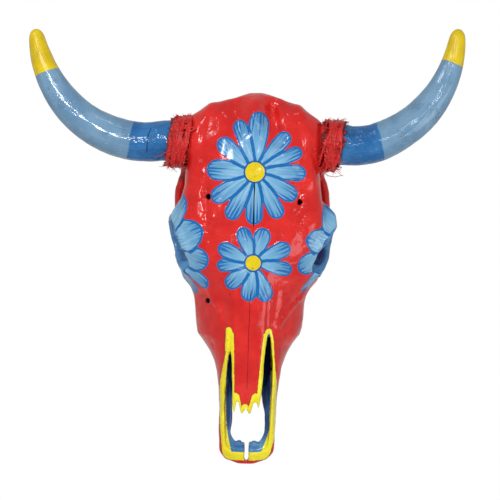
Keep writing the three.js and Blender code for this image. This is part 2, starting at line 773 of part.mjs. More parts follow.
let toothZ = TUBER_Z - TOOTH_ROW_BELOW_TUBER;
const teeth = TEETH.map((tooth, i) => {
  const z = toothZ + tooth.length / 2;
  toothZ += tooth.length + TOOTH_SPACING;
  const x = THREE.MathUtils.lerp(...TOOTH_ROW_X, i / (TEETH.length - 1));
  const gum = backDepth(z);
  const ring = (y, size, grow) => toothRing(tooth, x, z, y, size, grow);
  return {
    name: tooth.name,
    solid: loft([ring(gum - TOOTH_ROOT, 0.8, 0), ring(gum - 2, 0.94, 0), ring(gum + 6, 1, 0), ring(WALL_Y, 0.94, 0)]),
    socket: loft([ring(gum - TOOTH_ROOT - SEAT, 0.8, SEAT), ring(gum - 2, 0.94, SEAT), ring(gum + 6, 1, SEAT)]),
  };
});

// Horns: a core of bone that grows from the forehead, and a sheath that slides over it
function hornCurve({ side, out, lift, tip }) {
  const at = ([x, z], y) => vec(side * x * HORN_REACH, y, HORN_Z + z * HORN_RISE);
  const bend = vec(side * HORN_BEND_X, EDGE_Y, HORN_Z);
  const curve = new THREE.CurvePath();
  curve.add(new THREE.LineCurve3(vec(side * HORN_START_X, EDGE_Y, HORN_Z), bend));
  curve.add(new THREE.CubicBezierCurve3(bend, at(out, EDGE_Y), at(lift, EDGE_Y), at(tip, HORN_TIP_Y)));
  return curve;
}

// A radius that tapers along a length and ends in a half ball
function roundedTaper(from, to, radius, tipRadius) {
  const fall = profile([
    [from, radius],
    [from + (to - from) * 0.25, radius - (radius - tipRadius) * 0.12],
    [from + (to - from) * 0.6, radius - (radius - tipRadius) * 0.42],
    [to, tipRadius],
  ]);
  return (at) => {
    const intoTip = Math.max(0, at - (to - tipRadius)) / tipRadius;
    return Math.max(0.8, fall(at) * Math.sqrt(Math.max(0, 1 - intoTip ** 2)));
  };
}

// Distances for its rings: even along the taper, closer round the tip
const taperSteps = (from, to, tipRadius, count) => [
  ...steps(from, to - tipRadius, count),
  ...[0.4, 0.7, 0.9, 1].map((share) => to - tipRadius * (1 - share)),
];

function makeHorn(horn) {
  const curve = hornCurve(horn);
  const length = curve.getLength();
  const mouth = BOSS_REACH;
  const coreEnd = mouth + CORE_LENGTH;
  const coreRadius = roundedTaper(mouth, coreEnd, HORN_RADIUS - HORN_WALL, CORE_TIP_RADIUS);
  const sheathRadius = roundedTaper(mouth, length, HORN_RADIUS, HORN_TIP_RADIUS);
  const bossFlare = profile([
    [0, 14],
    [ROPE_START - 10, 6],
    [ROPE_START - 4, 0],
    [mouth, 0],
  ]);
  const bossSize = (at) => [HORN_RADIUS + bossFlare(at), HORN_RADIUS + bossFlare(at) * 0.3];
  const boss = taperedSweep(curve, steps(0, mouth - SEAT, 5), bossSize, 18);
  const core = taperedSweep(curve, [4, ...taperSteps(mouth, coreEnd, CORE_TIP_RADIUS, 8)], coreRadius, 12);
  const bore = taperedSweep(
    curve,
    [4, ...taperSteps(mouth, coreEnd, CORE_TIP_RADIUS, 8).map((at) => at + SEAT)],
    (at) => coreRadius(at - SEAT) + SEAT,
    12,
  );
  const sheath = taperedSweep(curve, taperSteps(mouth, length, HORN_TIP_RADIUS, 16), sheathRadius, 18).subtract(bore);
  return { curve, growth: boss.add(core), sheath };
}

const horns = { left: makeHorn(HORNS.left), right: makeHorn(HORNS.right) };

// Rope wound round the joint of horn and skull in one unbroken length
function makeWrap({ curve }, side) {
  const radius = HORN_RADIUS + SEAT + ROPE_DIAMETER / 2;
  const length = curve.getLength();
  const path = steps(0, ROPE_TURNS, ROPE_TURNS * 24).map((turn) => {
    const u = (ROPE_START + turn * ROPE_PITCH) / length;
    const along = curve.getTangentAt(u);
    const across = vec(0, 1, 0).cross(along).normalize();
    const depth = along.clone().cross(across);
    const angle = 2 * Math.PI * turn * side;
    return curve.getPointAt(u).addScaledVector(across, radius * Math.cos(angle)).addScaledVector(depth, radius * Math.sin(angle));
  });
  const rings = path.map((centre, i) => {
    const along = path[Math.min(i + 1, path.length - 1)].clone().sub(path[Math.max(i - 1, 0)]).normalize();
    const axis = curve.getTangentAt((ROPE_START + (i / 24) * ROPE_PITCH) / length);
    const outward = along.clone().cross(axis).normalize();
    const sideways = outward.clone().cross(along);
    return steps(0, 2 * Math.PI, 6).slice(1).map((angle) =>
      centre.clone().addScaledVector(outward, (ROPE_DIAMETER / 2) * Math.cos(angle)).addScaledVector(sideways, (ROPE_DIAMETER / 2) * Math.sin(angle)),
    );
  });
  const apart = path.flatMap((a, i) => path.slice(i + 12).map((b) => a.distanceTo(b)));
  console.log(`rope wrap: least gap to itself ${(Math.min(...apart) - ROPE_DIAMETER).toFixed(2)} mm`);
  return loft(rings);
}

// Vomer: the blade of bone that stands on the palate inside the nasal passage
const VOMER_THICK = 3;
const vomerShape = () => {
  const foot = steps(FISSURE_TOP + 12, ORBIT_Z - 36, 8).map((z) => [passageFloor(z) - 2 * SEAT, z]);
  const crest = [
    [72, ORBIT_Z - 40],
    [66, TUBER_Z + 20],
    [68, FISSURE_TOP + 20],
  ];
  return new THREE.Shape([...foot, ...crest].map(point));
};
const vomer = prism('side', vomerShape(), -VOMER_THICK / 2, VOMER_THICK / 2);

// Small openings for vessels in the forehead
const FORAMEN_SMALL = 3;
const supraorbital = solid(
  new THREE.CylinderGeometry(FORAMEN_SMALL, FORAMEN_SMALL, 30, 8).translate(59, 8, ORBIT_Z + 60),
);

// Assembly
const skull = new THREE.Group();
skull.position.copy(NAIL).negate();

function addPiece(name, made, { color, roughness }) {
  const mesh = mainBody(made.simplify(SMOOTHING)).getMesh();
  const points = new THREE.BufferAttribute(new Float32Array(mesh.numVert * 3), 3);
  for (let i = 0; i < mesh.numVert; i += 1) {
    points.setXYZ(i, ...mesh.vertProperties.slice(i * mesh.numProp, i * mesh.numProp + 3));
  }
  const geometry = new THREE.BufferGeometry().setAttribute('position', points).setIndex([...mesh.triVerts]);
  geometry.computeVertexNormals();
  const piece = new THREE.Mesh(geometry, new THREE.MeshStandardMaterial({ color, roughness, metalness: 0 }));
  piece.name = name;
  skull.add(piece);
}

const onRight = (whole) => whole.intersect(half);
const frontal = onRight(afterFrontal.piece).subtract(supraorbital);
const rightBones = {
  nasal: onRight(afterNasal.piece),
  incisive: onRight(afterIncisive.piece),
  lacrimal: onRight(afterLacrimal.piece),
  zygomatic: onRight(afterZygomatic.piece),
  maxilla: teeth.reduce((bone, tooth) => bone.subtract(tooth.socket), onRight(afterMaxilla.piece)),
  palatine: onRight(afterPalatine.piece),
  temporal: onRight(afterTemporal.piece).subtract(jugularSweep(SUTURE)),
};
// The free ends of the nasal bones lean to the left, more the further down
const lean = ({ x, y, z }) => {
  const down = THREE.MathUtils.clamp((TUBER_Z - z) / (TUBER_Z - NASAL_TIP_Z), 0, 1);
  return vec(x - NASAL_DRIFT * down, y, z);
};
Object.entries(rightBones).forEach(([name, bone]) => {
  const shape = name === 'nasal' ? lean : (at) => at;
  addPiece(`${name}_bone_right`, moved(bone, shape), PAINT.red);
  addPiece(`${name}_bone_left`, moved(mirrored(mainBody(bone)), shape), PAINT.red);
});
addPiece('frontal_bone_right', frontal.add(horns.right.growth), PAINT.red);
addPiece('frontal_bone_left', mirrored(frontal).add(horns.left.growth), PAINT.red);
addPiece('occipital_bone', bothSides(afterOccipital.piece.add(jugular)), PAINT.red);
addPiece('sphenoid_bone', bothSides(afterTemporal.rest), PAINT.red);
addPiece('vomer', vomer, PAINT.red);
teeth.forEach((tooth) => {
  addPiece(`${tooth.name}_right`, tooth.solid, PAINT.ivory);
  addPiece(`${tooth.name}_left`, mirrored(tooth.solid), PAINT.ivory);
});
Object.entries(horns).forEach(([name, horn]) => {
  addPiece(`horn_sheath_${name}`, horn.sheath, PAINT.blue);
  addPiece(`rope_wrap_${name}`, makeWrap(horn, HORNS[name].side), PAINT.rope);
});

export default skull;
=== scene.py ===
import itertools
import math

import bpy
import numpy as np
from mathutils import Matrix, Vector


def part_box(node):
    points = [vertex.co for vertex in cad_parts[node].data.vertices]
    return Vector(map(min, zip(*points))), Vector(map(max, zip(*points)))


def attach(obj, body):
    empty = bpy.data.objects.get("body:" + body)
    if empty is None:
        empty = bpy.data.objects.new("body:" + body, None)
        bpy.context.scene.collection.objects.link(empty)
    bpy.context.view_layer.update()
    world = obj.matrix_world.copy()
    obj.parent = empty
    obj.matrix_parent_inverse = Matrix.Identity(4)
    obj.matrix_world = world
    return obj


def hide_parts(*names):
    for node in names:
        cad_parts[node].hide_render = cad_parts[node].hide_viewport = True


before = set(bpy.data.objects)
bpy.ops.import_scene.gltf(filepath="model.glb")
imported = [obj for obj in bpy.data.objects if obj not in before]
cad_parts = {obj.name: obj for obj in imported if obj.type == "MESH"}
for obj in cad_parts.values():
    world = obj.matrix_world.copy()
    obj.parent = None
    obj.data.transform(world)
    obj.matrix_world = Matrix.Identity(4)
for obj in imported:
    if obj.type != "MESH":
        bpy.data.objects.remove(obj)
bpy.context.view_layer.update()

import openvdb as vdb
from mathutils import Matrix, Vector

SEED = 11
TURN = 2 * math.pi

# The skull's drawing frame in millimetres: x across, y back from the forehead, z up from the tip of the nose
WALL_DEPTH = 151.0
NAIL = np.array([
    0.0,
    WALL_DEPTH - 1000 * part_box("molar_2_left")[1][1],
    -1000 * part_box("incisive_bone_left")[0][2],
])


def placed(*point):
    """A point of the drawing frame, in metres in the frame of the part."""
    return Vector((np.array(point) - NAIL) / 1000)


# Camera, as the photograph was taken: straight on from the front, a little rolled
CAMERA_PLACE = (-1.15, -1650.0, 279.8)
CAMERA_ROLL = math.radians(1.5)
FOCAL_PIXELS = 1303.8
PHOTO_PIXELS = 500

lens = bpy.data.cameras.new("camera")
lens.sensor_width = 36
lens.lens = FOCAL_PIXELS / PHOTO_PIXELS * lens.sensor_width
lens.clip_start, lens.clip_end = 0.05, 50
camera = bpy.data.objects.new("camera", lens)
bpy.context.scene.collection.objects.link(camera)
camera.matrix_world = Matrix.Translation(placed(*CAMERA_PLACE)) @ Matrix((
    (math.cos(CAMERA_ROLL), -math.sin(CAMERA_ROLL), 0, 0),
    (0, 0, -1, 0),
    (math.sin(CAMERA_ROLL), math.cos(CAMERA_ROLL), 0, 0),
    (0, 0, 0, 1),
))
bpy.context.scene.camera = camera
bpy.context.scene.view_settings.view_transform = "Standard"


def keep(piece, node):
    """Puts a finished piece in the place of its CAD node."""
    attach(piece, "root")
    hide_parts(node)


# Shader maths
def colour(red, green, blue):
    """A colour as it looks on a screen, 0 to 255, as the shader wants it."""
    shares = [part / 255 for part in (red, green, blue)]
    return (*[s / 12.92 if s <= 0.04045 else ((s + 0.055) / 1.055) ** 2.4 for s in shares], 1.0)


def operator(operation, swapped=False):
    """A method of Value that takes one other value, which comes first if swapped."""
    def apply(value, other):
        return value.maths(operation, *((other, value) if swapped else (value, other)))
    return apply


class Value:
    """A socket of a node tree, so that shader maths is written as an expression."""

    def __init__(self, nodes, socket):
        self.nodes, self.socket = nodes, socket

    def maths(self, operation, *values):
        return self.nodes.node("ShaderNodeMath", {"operation": operation}, dict(enumerate(values)))

    __add__, __radd__ = operator("ADD"), operator("ADD", swapped=True)
    __sub__, __rsub__ = operator("SUBTRACT"), operator("SUBTRACT", swapped=True)
    __mul__, __rmul__ = operator("MULTIPLY"), operator("MULTIPLY", swapped=True)
    least, most = operator("MINIMUM"), operator("MAXIMUM")

    def __abs__(self):
        return self.maths("ABSOLUTE", self)

    def rise(self, low, high):
        """0 up to low, 1 from high on, and a smooth step between."""
        settings = {"interpolation_type": "SMOOTHSTEP"}
        return self.nodes.node("ShaderNodeMapRange", settings, {0: self, 1: low, 2: high})


class Nodes:
    """A node tree. Every node added to it comes from its node method."""

    def __init__(self, tree):
        self.tree = tree

    def node(self, kind, settings=(), sockets=(), out=0):
        made = self.tree.nodes.new(kind)
        for key, value in dict(settings).items():
            setattr(made, key, value)
        for key, value in dict(sockets).items():
            self.link(made.inputs[key], value)
        return Value(self, made.outputs[out])

    def link(self, socket, value):
        if isinstance(value, Value):
            self.tree.links.new(value.socket, socket)
        else:
            socket.default_value = value


class Shader(Nodes):
    """A material, with its colours given as they look on a screen, 0 to 255."""

    def __init__(self, name, **plain):
        self.material = bpy.data.materials.new(name)
        self.material.use_nodes = True
        super().__init__(self.material.node_tree)
        self.surface = self.tree.nodes["Principled BSDF"]
        for socket, value in plain.items():
            self.put(socket, value)

    def put(self, socket, value):
        self.link(self.surface.inputs[socket], value)

    def mix(self, share, under, over):
        under, over = [c if isinstance(c, Value) else colour(*c) for c in (under, over)]
        return self.node("ShaderNodeMix", {"data_type": "RGBA"}, {0: share, 6: under, 7: over}, out=2)

    def parts(self, vector):
        split = self.node("ShaderNodeSeparateXYZ", {}, {0: vector}).socket.node
        return [Value(self, socket) for socket in split.outputs]

    def whole(self, x, y, z):
        return self.node("ShaderNodeCombineXYZ", {}, {0: x, 1: y, 2: z})

    def stretched(self, vector, by):
        return self.node("ShaderNodeVectorMath", {"operation": "MULTIPLY"}, {0: vector, 1: by})

    def place(self):
        return self.node("ShaderNodeTexCoord", out="Object")

    def tag(self, name, out="Vector"):
        return self.node("ShaderNodeAttribute", {"attribute_name": name}, out=out)

    def noise(self, vector, scale, detail=2.0, rough=0.5):
        sockets = {"Vector": vector, "Scale": scale, "Detail": detail, "Roughness": rough}
        return self.node("ShaderNodeTexNoise", {}, sockets)

    def bump(self, height, distance, strength=1.0):
        sockets = {"Height": height, "Distance": distance, "Strength": strength}
        self.put("Normal", self.node("ShaderNodeBump", {}, sockets))


# Bones: the CAD bones are joined, softened as grown bone is, and parted again along their sutures
# In metres: the voxel, the gap of a shut suture, half the gap that joining closes, the change that softening may make
VOXEL = 0.0015
SUTURE_GAP = 0.00003
CLOSING = 0.0005
FLAT_RANGE = 0.0009
# In voxels: room round all bones and round one, how far distances are kept, thickness of the roof of the nose
MARGIN, BONE_ROOM = 12, 6
BAND, JOINED_BAND, BONE_BAND = 3.0, MARGIN - 3.0, 9.0
ROOF_STEPS = 2
# Fewest faces of a body that is kept
LEAST_BODY = 150
# Uneven bone: reach of each grain in voxels, and its height in metres
GRAINS = ((5, 0.0004), (2, 0.0001))
# The roof of the nose that the relief may not thin: two corners
ROOF = ((-14, -12, 96), (14, 40, 240))
# Depth at which the relief of the front has run out, and at which it is whole
FRONT_DEPTH = (62, 50)
# How far a hole runs outwards and inwards from its centre, and room round a form that is run in
HOLE_RUN = (-14, 12)
FORM_ROOM = 24
# Regions of the head, the same on both sides: ranges of distance from the midline, of depth and of height over each
# of which a region goes from 0 to 1. The nose keeps sharp edges, the sutures of the cheeks are open a little, the
# midline has its cracks, and the poll is parted straight
NOSE_REGION = (((42, 34),), ((66, 58),), ((192, 178),))
CHEEK_REGION = (((34, 40),), (), ((262, 250), (120, 140)))
CRACK_REGION = (((12, 8),), ((34, 26),), ())
POLL_REGION = (((14, 9),), ((47, 42),), ((384, 396),))
# A crack runs out over this length, and the swelling of the poll starts this far outside the CAD bone
CRACK_END, POLL_RISE = 8, 0.0003
# A filled hole: room that is looked at round it, distances where the filling is none and whole, and its softening
FILL_ROOM, FILL_RANGE, FILL_SOFT = 40, (7.5, 4.5), (5, 2)
# How far the nose leans to the right
NOSE_LEAN = 1.2
BONES = sorted(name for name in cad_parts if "_bone" in name)
# The midline of this skull wanders a little: height, and how far it lies to the right
SWAY = ((171, 0.0), (214, 0.5), (263, 3.0), (330, 2.4), (380, 2.4), (440, 1.0), (483, 0.0))
# Open cracks along the midline: from and to height, width
CRACKS = ((306, 368, 0.95), (98, 232, 0.5), (58, 82, 1.7))
# Width of the open sutures of the cheeks
CHEEK_SUTURE = 0.08
# Holes that are filled, and the holes that are opened: centre, radius and the way each runs
FILLED_HOLES = ((60.4, 6, 352.5), (-60.4, 6, 352.5))
HOLES = (
    ((-55.5, 30, 212.5), 2.9, (0.3, 1, 0.1)),
    ((61.5, 6, 340), 3.0, (-0.25, 1, 0.5)),
    ((-56.8, 6, 345), 3.2, (0.3, 1, 0.3)),
)
# The thick front rim of each eye socket and the arch below it: points and radii
EYE_BROW = {
    -1: (
        ((-86, 49, 343), 5), ((-90, 46, 336), 6.5), ((-95.6, 44, 325), 7.5), ((-96, 39, 314), 6.5),
        ((-90.5, 29.5, 297), 8.5), ((-84, 26.5, 284), 6),
    ),
    1: (
        ((87, 49, 343), 5), ((94, 46, 335), 7), ((101.4, 44, 325), 8), ((103.2, 41, 314), 7.8), ((96.6, 33, 301), 8.5),
        ((84, 26.5, 284), 6),
    ),
}
EYE_ARCH = {
    -1: (((-94.6, 75, 272), 5.5), ((-91, 63, 261.6), 5.5), ((-83.3, 49, 251), 5.5)),
    1: (
        ((100.4, 81, 293), 5.5), ((99.4, 80.5, 282.5), 5.5), ((98, 75, 272), 5.5), ((93.6, 63, 261.6), 5.5),
        ((87.4, 49, 251), 5.5),
    ),
}
BROW_BLEND = 5.0
# The opening cut back at the lower edge of a rim
EYE_CUT = {side: (((side * 97, 43, 285), 13), ((side * 92, 40, 264), 13)) for side in (-1, 1)}
CUT_BLEND, NOSE_BLEND, SLIT_BLEND = 1.5, 2.0, 1.0
# Where the slit of the left nostril has grown shut with the pinhole beside it, and inside the tip of the nose its
# knobs and its notch
CLOSED_SLIT = (
    ((-25.2, 16.5, 186), 3.2), ((-25.2, 17, 180), 4), ((-25.6, 17.5, 164), 4), ((-26.8, 18.5, 152), 3.4),
    ((-28.4, 20, 138), 2.9), ((-29.2, 23, 118), 2.3), ((-29.6, 27, 100), 1.4),
)
FILLED_PINHOLE = (((-30, 21, 187), 2.2), ((-30, 21, 180), 2.2))
NOSE_KNOBS = (((13, 46.5, 27.4), 3.6), ((9.4, 46.5, 28.4), 4.2), ((6.6, 46.5, 26.6), 3.6))
NOSE_NOTCH = (
    ((-1, 46, 39), 9), ((-1, 46, 29), 5.4), ((-1, 46, 23), 3.6), ((-1.2, 46, 15), 1.2), ((-1.2, 46, 10), 0.6),
)
# The long outer prong of the left nasal bone
NASAL_PRONG = (((-17, 12.8, 87), 2.2), ((-17.3, 15.4, 80), 2.0), ((-17.8, 18, 71.8), 1.6))
# The inner edges beside the opening of the nose
NOSE_SIDES = {
    -1: (((-23, 50, 92), 2), ((-23, 50, 66), 3.4), ((-23.6, 50, 50), 2.8), ((-24.4, 50, 38), 1.6)),
    1: (
        ((23, 54, 98), 6.5), ((23.6, 53.5, 82), 4.8), ((25.8, 51, 66), 3.1), ((25.9, 50, 50), 2.6),
        ((26, 50, 38), 1.6),
    ),
}
# Ridges above zero and grooves below it: the line, x and z, its half width and its height
RELIEF = (
    (((0.5, 467), (0.5, 452), (1.5, 444)), 10.5, 5.2),
    (((9, 487), (17, 485), (32, 478)), 7, 1.6),
    (((-46, 476), (-14, 485)), 6, -1.5),
    (((-3, 488), (3, 488)), 5, -1.4),
    (((-22, 464), (-21, 432)), 9.5, -5.2),
    (((22, 462), (25, 440), (30, 420)), 10, -8.6),
    (((-58, 466), (-68, 440), (-74, 405), (-80, 370)), 7, 2.4),
    (((58, 466), (66, 440), (71, 405), (77, 370)), 7, 3.2),
    (((86, 440), (88, 420), (93, 386)), 6, -3.4),
    (((-86, 440), (-88, 420), (-93, 388)), 6, -3.0),
    (((-58, 236), (-47.5, 213), (-38, 200)), 1.9, 2.0),
    (((68, 218), (53, 203), (39, 183)), 2.4, 2.3),
    (((72, 232), (58, 216), (46, 200)), 2.4, -1.8),
    (((66, 228), (56, 212), (44, 196)), 1.8, 1.4),
    (((2, 222), (0.5, 190), (-2, 96)), 6.5, -1.1),
    (((2, 236), (0.5, 190), (-2, 96)), 2.0, -0.4),
    (((-21, 250), (-19, 200), (-17, 120)), 6, 1.2),
    (((22, 250), (19, 200), (14, 120)), 6, 1.2),
    (((-36, 236), (-33, 205), (-31, 184)), 4, -1.0),
    (((37, 236), (34, 205), (31, 184)), 4, -1.0),
)
GROOVES = (
    ((-58, 388), (-59.6, 350), (-55, 293)),
    ((58, 384), (60.2, 345), (66.5, 293)),
)
GROOVE_HALF, GROOVE_DEPTH = 4.0, 1.2
PIT_REACH, PIT_HEIGHT = 10.0, 0.00034


def ease(value, low, high):
    part = np.clip((value - low) / (high - low), 0, 1)
    return part * part * (3 - 2 * part)


def within(axes, region):
    """How far each point is in a region of the head, from 0 to 1."""
    x, y, z = axes
    return math.prod(ease(axis, *span) for axis, spans in zip((np.abs(x), y, z), region) for span in spans)


def unit(vector):
    return np.array(vector) / np.linalg.norm(vector)


def from_run(axes, start, end):
    """Share along a straight run, 0 to 1, and distance from it, of points given by their coordinates."""
    run = np.subtract(end, start)
    share = np.clip(sum((axis - s) * r for axis, s, r in zip(axes, start, run)) / (run @ run), 0, 1)
    return share, np.sqrt(sum((axis - s - share * r) ** 2 for axis, s, r in zip(axes, start, run)))


def line_distance(x, z, line):
    """Distance to a line of points."""
    return np.min([from_run((x, z), *ends)[1] for ends in zip(line, line[1:])], axis=0)


def inside_line(x, z, line):
    """Whether a point is inside a line with its ends joined."""
    inside = np.zeros(len(x), bool)
    for (ax, az), (bx, bz) in zip(line, (*line[1:], line[0])):
        if az != bz:
            inside ^= ((az > z) != (bz > z)) & (x < ax + (z - az) * (bx - ax) / (bz - az))
    return inside


def points_of(piece):
    flat = np.empty(len(piece.data.vertices) * 3, np.float32)
    piece.data.vertices.foreach_get("co", flat)
    return flat.reshape(-1, 3).astype(np.float64)


def set_points(piece, points):
    piece.data.vertices.foreach_set("co", points.astype(np.float32).ravel())
    piece.data.update()


def cad_surface(name):
    """Points and triangles of a CAD node."""
    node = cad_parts[name]
    node.data.calc_loop_triangles()
    corners = np.empty(len(node.data.loop_triangles) * 3, np.int32)
    node.data.loop_triangles.foreach_get("vertices", corners)
    return points_of(node).astype(np.float32), corners.reshape(-1, 3).astype(np.uint32)


def box_mean(field, reach, axis):
    pad = [(0, 0)] * 3
    pad[axis] = (reach + 1, reach)
    total = np.cumsum(np.pad(field, pad, mode="edge"), axis=axis, dtype=np.float32)
    ahead, behind = [slice(None)] * 3, [slice(None)] * 3
    ahead[axis] = slice(2 * reach + 1, None)
    behind[axis] = slice(0, field.shape[axis])
    return (total[tuple(ahead)] - total[tuple(behind)]) / (2 * reach + 1)


def softened(field, reach, passes):
    for _ in range(passes):
        for axis in range(3):
            field = box_mean(field, reach, axis)
    return field


def sample(field, at):
    """Values of a field between its voxels."""
    base = np.clip(np.floor(at).astype(int), 0, np.array(field.shape) - 2)
    part = at - base
    total = 0
    for corner in itertools.product((0, 1), repeat=3):
        weight = np.prod(np.where(corner, part, 1 - part), axis=1)
        total = total + weight * field[tuple((base + corner).T)]
    return total


def slope(field, at):
    return np.stack([sample(field, at + half) - sample(field, at - half) for half in np.eye(3) / 2], axis=1)


class Head:
    """The joined bones as a field of distances, below zero inside the bone."""

    def __init__(self):
        self.grid = vdb.createLinearTransform(voxelSize=VOXEL)
        self.surfaces = {name: cad_surface(name) for name in BONES}
        counts = [len(points) for points, _ in self.surfaces.values()]
        points = np.concatenate([points for points, _ in self.surfaces.values()])
        corners = np.concatenate([
            corners + first for (_, corners), first in zip(self.surfaces.values(), np.cumsum([0] + counts))
        ])
        self.low = np.floor(points.min(0) / VOXEL).astype(int) - MARGIN
        self.shape = tuple(np.ceil(points.max(0) / VOXEL).astype(int) + MARGIN - self.low + 1)
        self.field = self.grown(self.joined(points, corners.astype(np.uint32)))

    def level_set(self, points, corners, band, **quads):
        return vdb.FloatGrid.createLevelSetFromPolygons(
            points, triangles=corners, transform=self.grid, halfWidth=band, **quads)

    def joined(self, points, corners):
        """Distances from the bones as one body, with the gaps of the sutures closed."""
        outer = self.level_set(points, corners, BAND).convertToPolygons(isovalue=CLOSING, adaptivity=0.0)
        body = self.level_set(outer[0], outer[1], JOINED_BAND, quads=outer[2])
        field = np.zeros(self.shape, np.float32)
        body.copyToArray(field, ijk=tuple(int(v) for v in self.low))
        return field + CLOSING

    def axes(self):
        """Drawing-frame coordinates of the voxels, as three arrays that broadcast."""
        x, y, z = [
            (np.arange(low, low + count) * VOXEL * 1000 + nail).astype(np.float32)
            for low, count, nail in zip(self.low, self.shape, NAIL)
        ]
        return x[:, None, None], y[None, :, None], z[None, None, :]

    def window(self, low, high):
        """The part of the grid between two corners in the drawing frame: slices, and the axes there."""
        where, axes = [], []
        for k, (axis, a, b) in enumerate(zip(self.axes(), low, high)):
            line = axis.ravel()
            cut = slice(int(np.searchsorted(line, a)), int(np.searchsorted(line, b)))
            where.append(cut)
            axes.append(line[cut].reshape([-1 if n == k else 1 for n in range(3)]))
        return tuple(where), axes

    def grown(self, raw):
        """Broad forms are softened much and edges little, and the bone gets its relief and unevenness."""
        near, wide = softened(raw, 1, 1), softened(raw, 3, 3)
        x, y, z = self.axes()
        flat = np.exp(-((wide - near) / FLAT_RANGE) ** 2) * (1 - within((x, y, z), NOSE_REGION))
        field = flat * wide + (1 - flat) * near
        self.shape_face(field)
        for centre in FILLED_HOLES:
            self.fill_hole(field, raw, np.array(centre))
        rng = np.random.default_rng(SEED)
        for reach, height in GRAINS:
            grain = softened(rng.standard_normal(self.shape, dtype=np.float32), reach, 2)
            field += grain * (height / grain.std())
        across, up = np.broadcast_arrays(x[:, :, 0], z[0])
        front = ease(y, *FRONT_DEPTH)
        where, _ = self.window(*ROOF)
        roof = field[where].copy()
        roof[:, ROOF_STEPS:] = roof[:, :-ROOF_STEPS]
        for line, half, height in RELIEF:
            rise = height / 1000 * np.exp(-(line_distance(across, up, line) / half) ** 2)
            field -= rise[:, None].astype(np.float32) * front
        field[where] = np.minimum(field[where], roof)
        grain = softened(rng.standard_normal(self.shape, dtype=np.float32), 1, 1)
        for line in GROOVES:
            away = line_distance(across, up, line)
            field += (GROOVE_DEPTH / 1000 * np.exp(-(away / GROOVE_HALF) ** 2))[:, None].astype(np.float32) * front
            pitted = np.exp(-(away / PIT_REACH) ** 2)[:, None].astype(np.float32) * front
            field += pitted * grain * (PIT_HEIGHT / grain.std())
        for centre, radius, way in HOLES:
            way = unit(way)
            _, away = from_run((x, y, z), *[(centre + way * run).astype(np.float32) for run in HOLE_RUN])
            field = np.maximum(field, (radius - away) / 1000)
        return field

    def form(self, chain):
        """Distances from a chain of balls run together, in the part of the grid round it."""
        places, radii = [np.array(column, float) for column in zip(*chain)]
        where, axes = self.window(places.min(0) - FORM_ROOM, places.max(0) + FORM_ROOM)
        form = np.float32(1.0)
        for k in range(len(places) - 1):
            share, away = from_run(axes, *places[k:k + 2])
            form = np.minimum(form, (away - radii[k] - share * (radii[k + 1] - radii[k])) / 1000)
        return where, form

    @staticmethod
    def run_in(field, form, blend):
        """The lesser of two fields, run into each other over a blend in millimetres."""
        blend = blend / 1000
        share = np.clip(0.5 + 0.5 * (field - form) / blend, 0, 1)
        return field * (1 - share) + form * share - blend * share * (1 - share)

    def mould(self, field, chain, blend, way=1):
        """Adds a chain of balls to the bone, or cuts it away if way is -1."""
        where, form = self.form(chain)
        field[where] = way * self.run_in(way * field[where], form, blend)

    def shape_face(self, field):
        """Swells the front rim of each eye socket and cuts its lower edge back, and shapes the parts of the nose."""
        for side in (-1, 1):
            for chain in (EYE_BROW[side], EYE_ARCH[side]):
                self.mould(field, chain, BROW_BLEND)
            self.mould(field, EYE_CUT[side], CUT_BLEND, way=-1)
            for chain in ([((side * x, y, z), radius) for (x, y, z), radius in NOSE_KNOBS], NOSE_SIDES[side]):
                self.mould(field, chain, NOSE_BLEND)
        for chain in (CLOSED_SLIT, FILLED_PINHOLE, NASAL_PRONG):
            self.mould(field, chain, SLIT_BLEND)
        self.mould(field, NOSE_NOTCH, CUT_BLEND, way=-1)

    def fill_hole(self, field, raw, centre):
        where, (x, _, z) = self.window(centre - FILL_ROOM, centre + FILL_ROOM)
        share = ease(np.hypot(x - centre[0], z - centre[2]), *FILL_RANGE)
        field[where] = field[where] * (1 - share) + softened(raw[where], *FILL_SOFT) * share

    def reach_of(self, points):
        low = np.maximum(np.floor(points.min(0) / VOXEL).astype(int) - BONE_ROOM - self.low, 0)
        high = np.minimum(np.ceil(points.max(0) / VOXEL).astype(int) + BONE_ROOM + 1 - self.low, self.shape)
        return low, tuple(slice(a, b) for a, b in zip(low, high))

    def gaps(self):
        """Half the width of the gap that parts two bones."""
        axes = self.axes()
        wide = np.zeros(self.shape, np.float32) + SUTURE_GAP / 2
        for low, high, width in CRACKS:
            ends = ease(axes[2], low, low + CRACK_END) * ease(axes[2], high, high - CRACK_END)
            wide = np.maximum(wide, ends * within(axes, CRACK_REGION) * width / 2000)
        return np.maximum(wide, within(axes, CHEEK_REGION) * CHEEK_SUTURE / 2000)

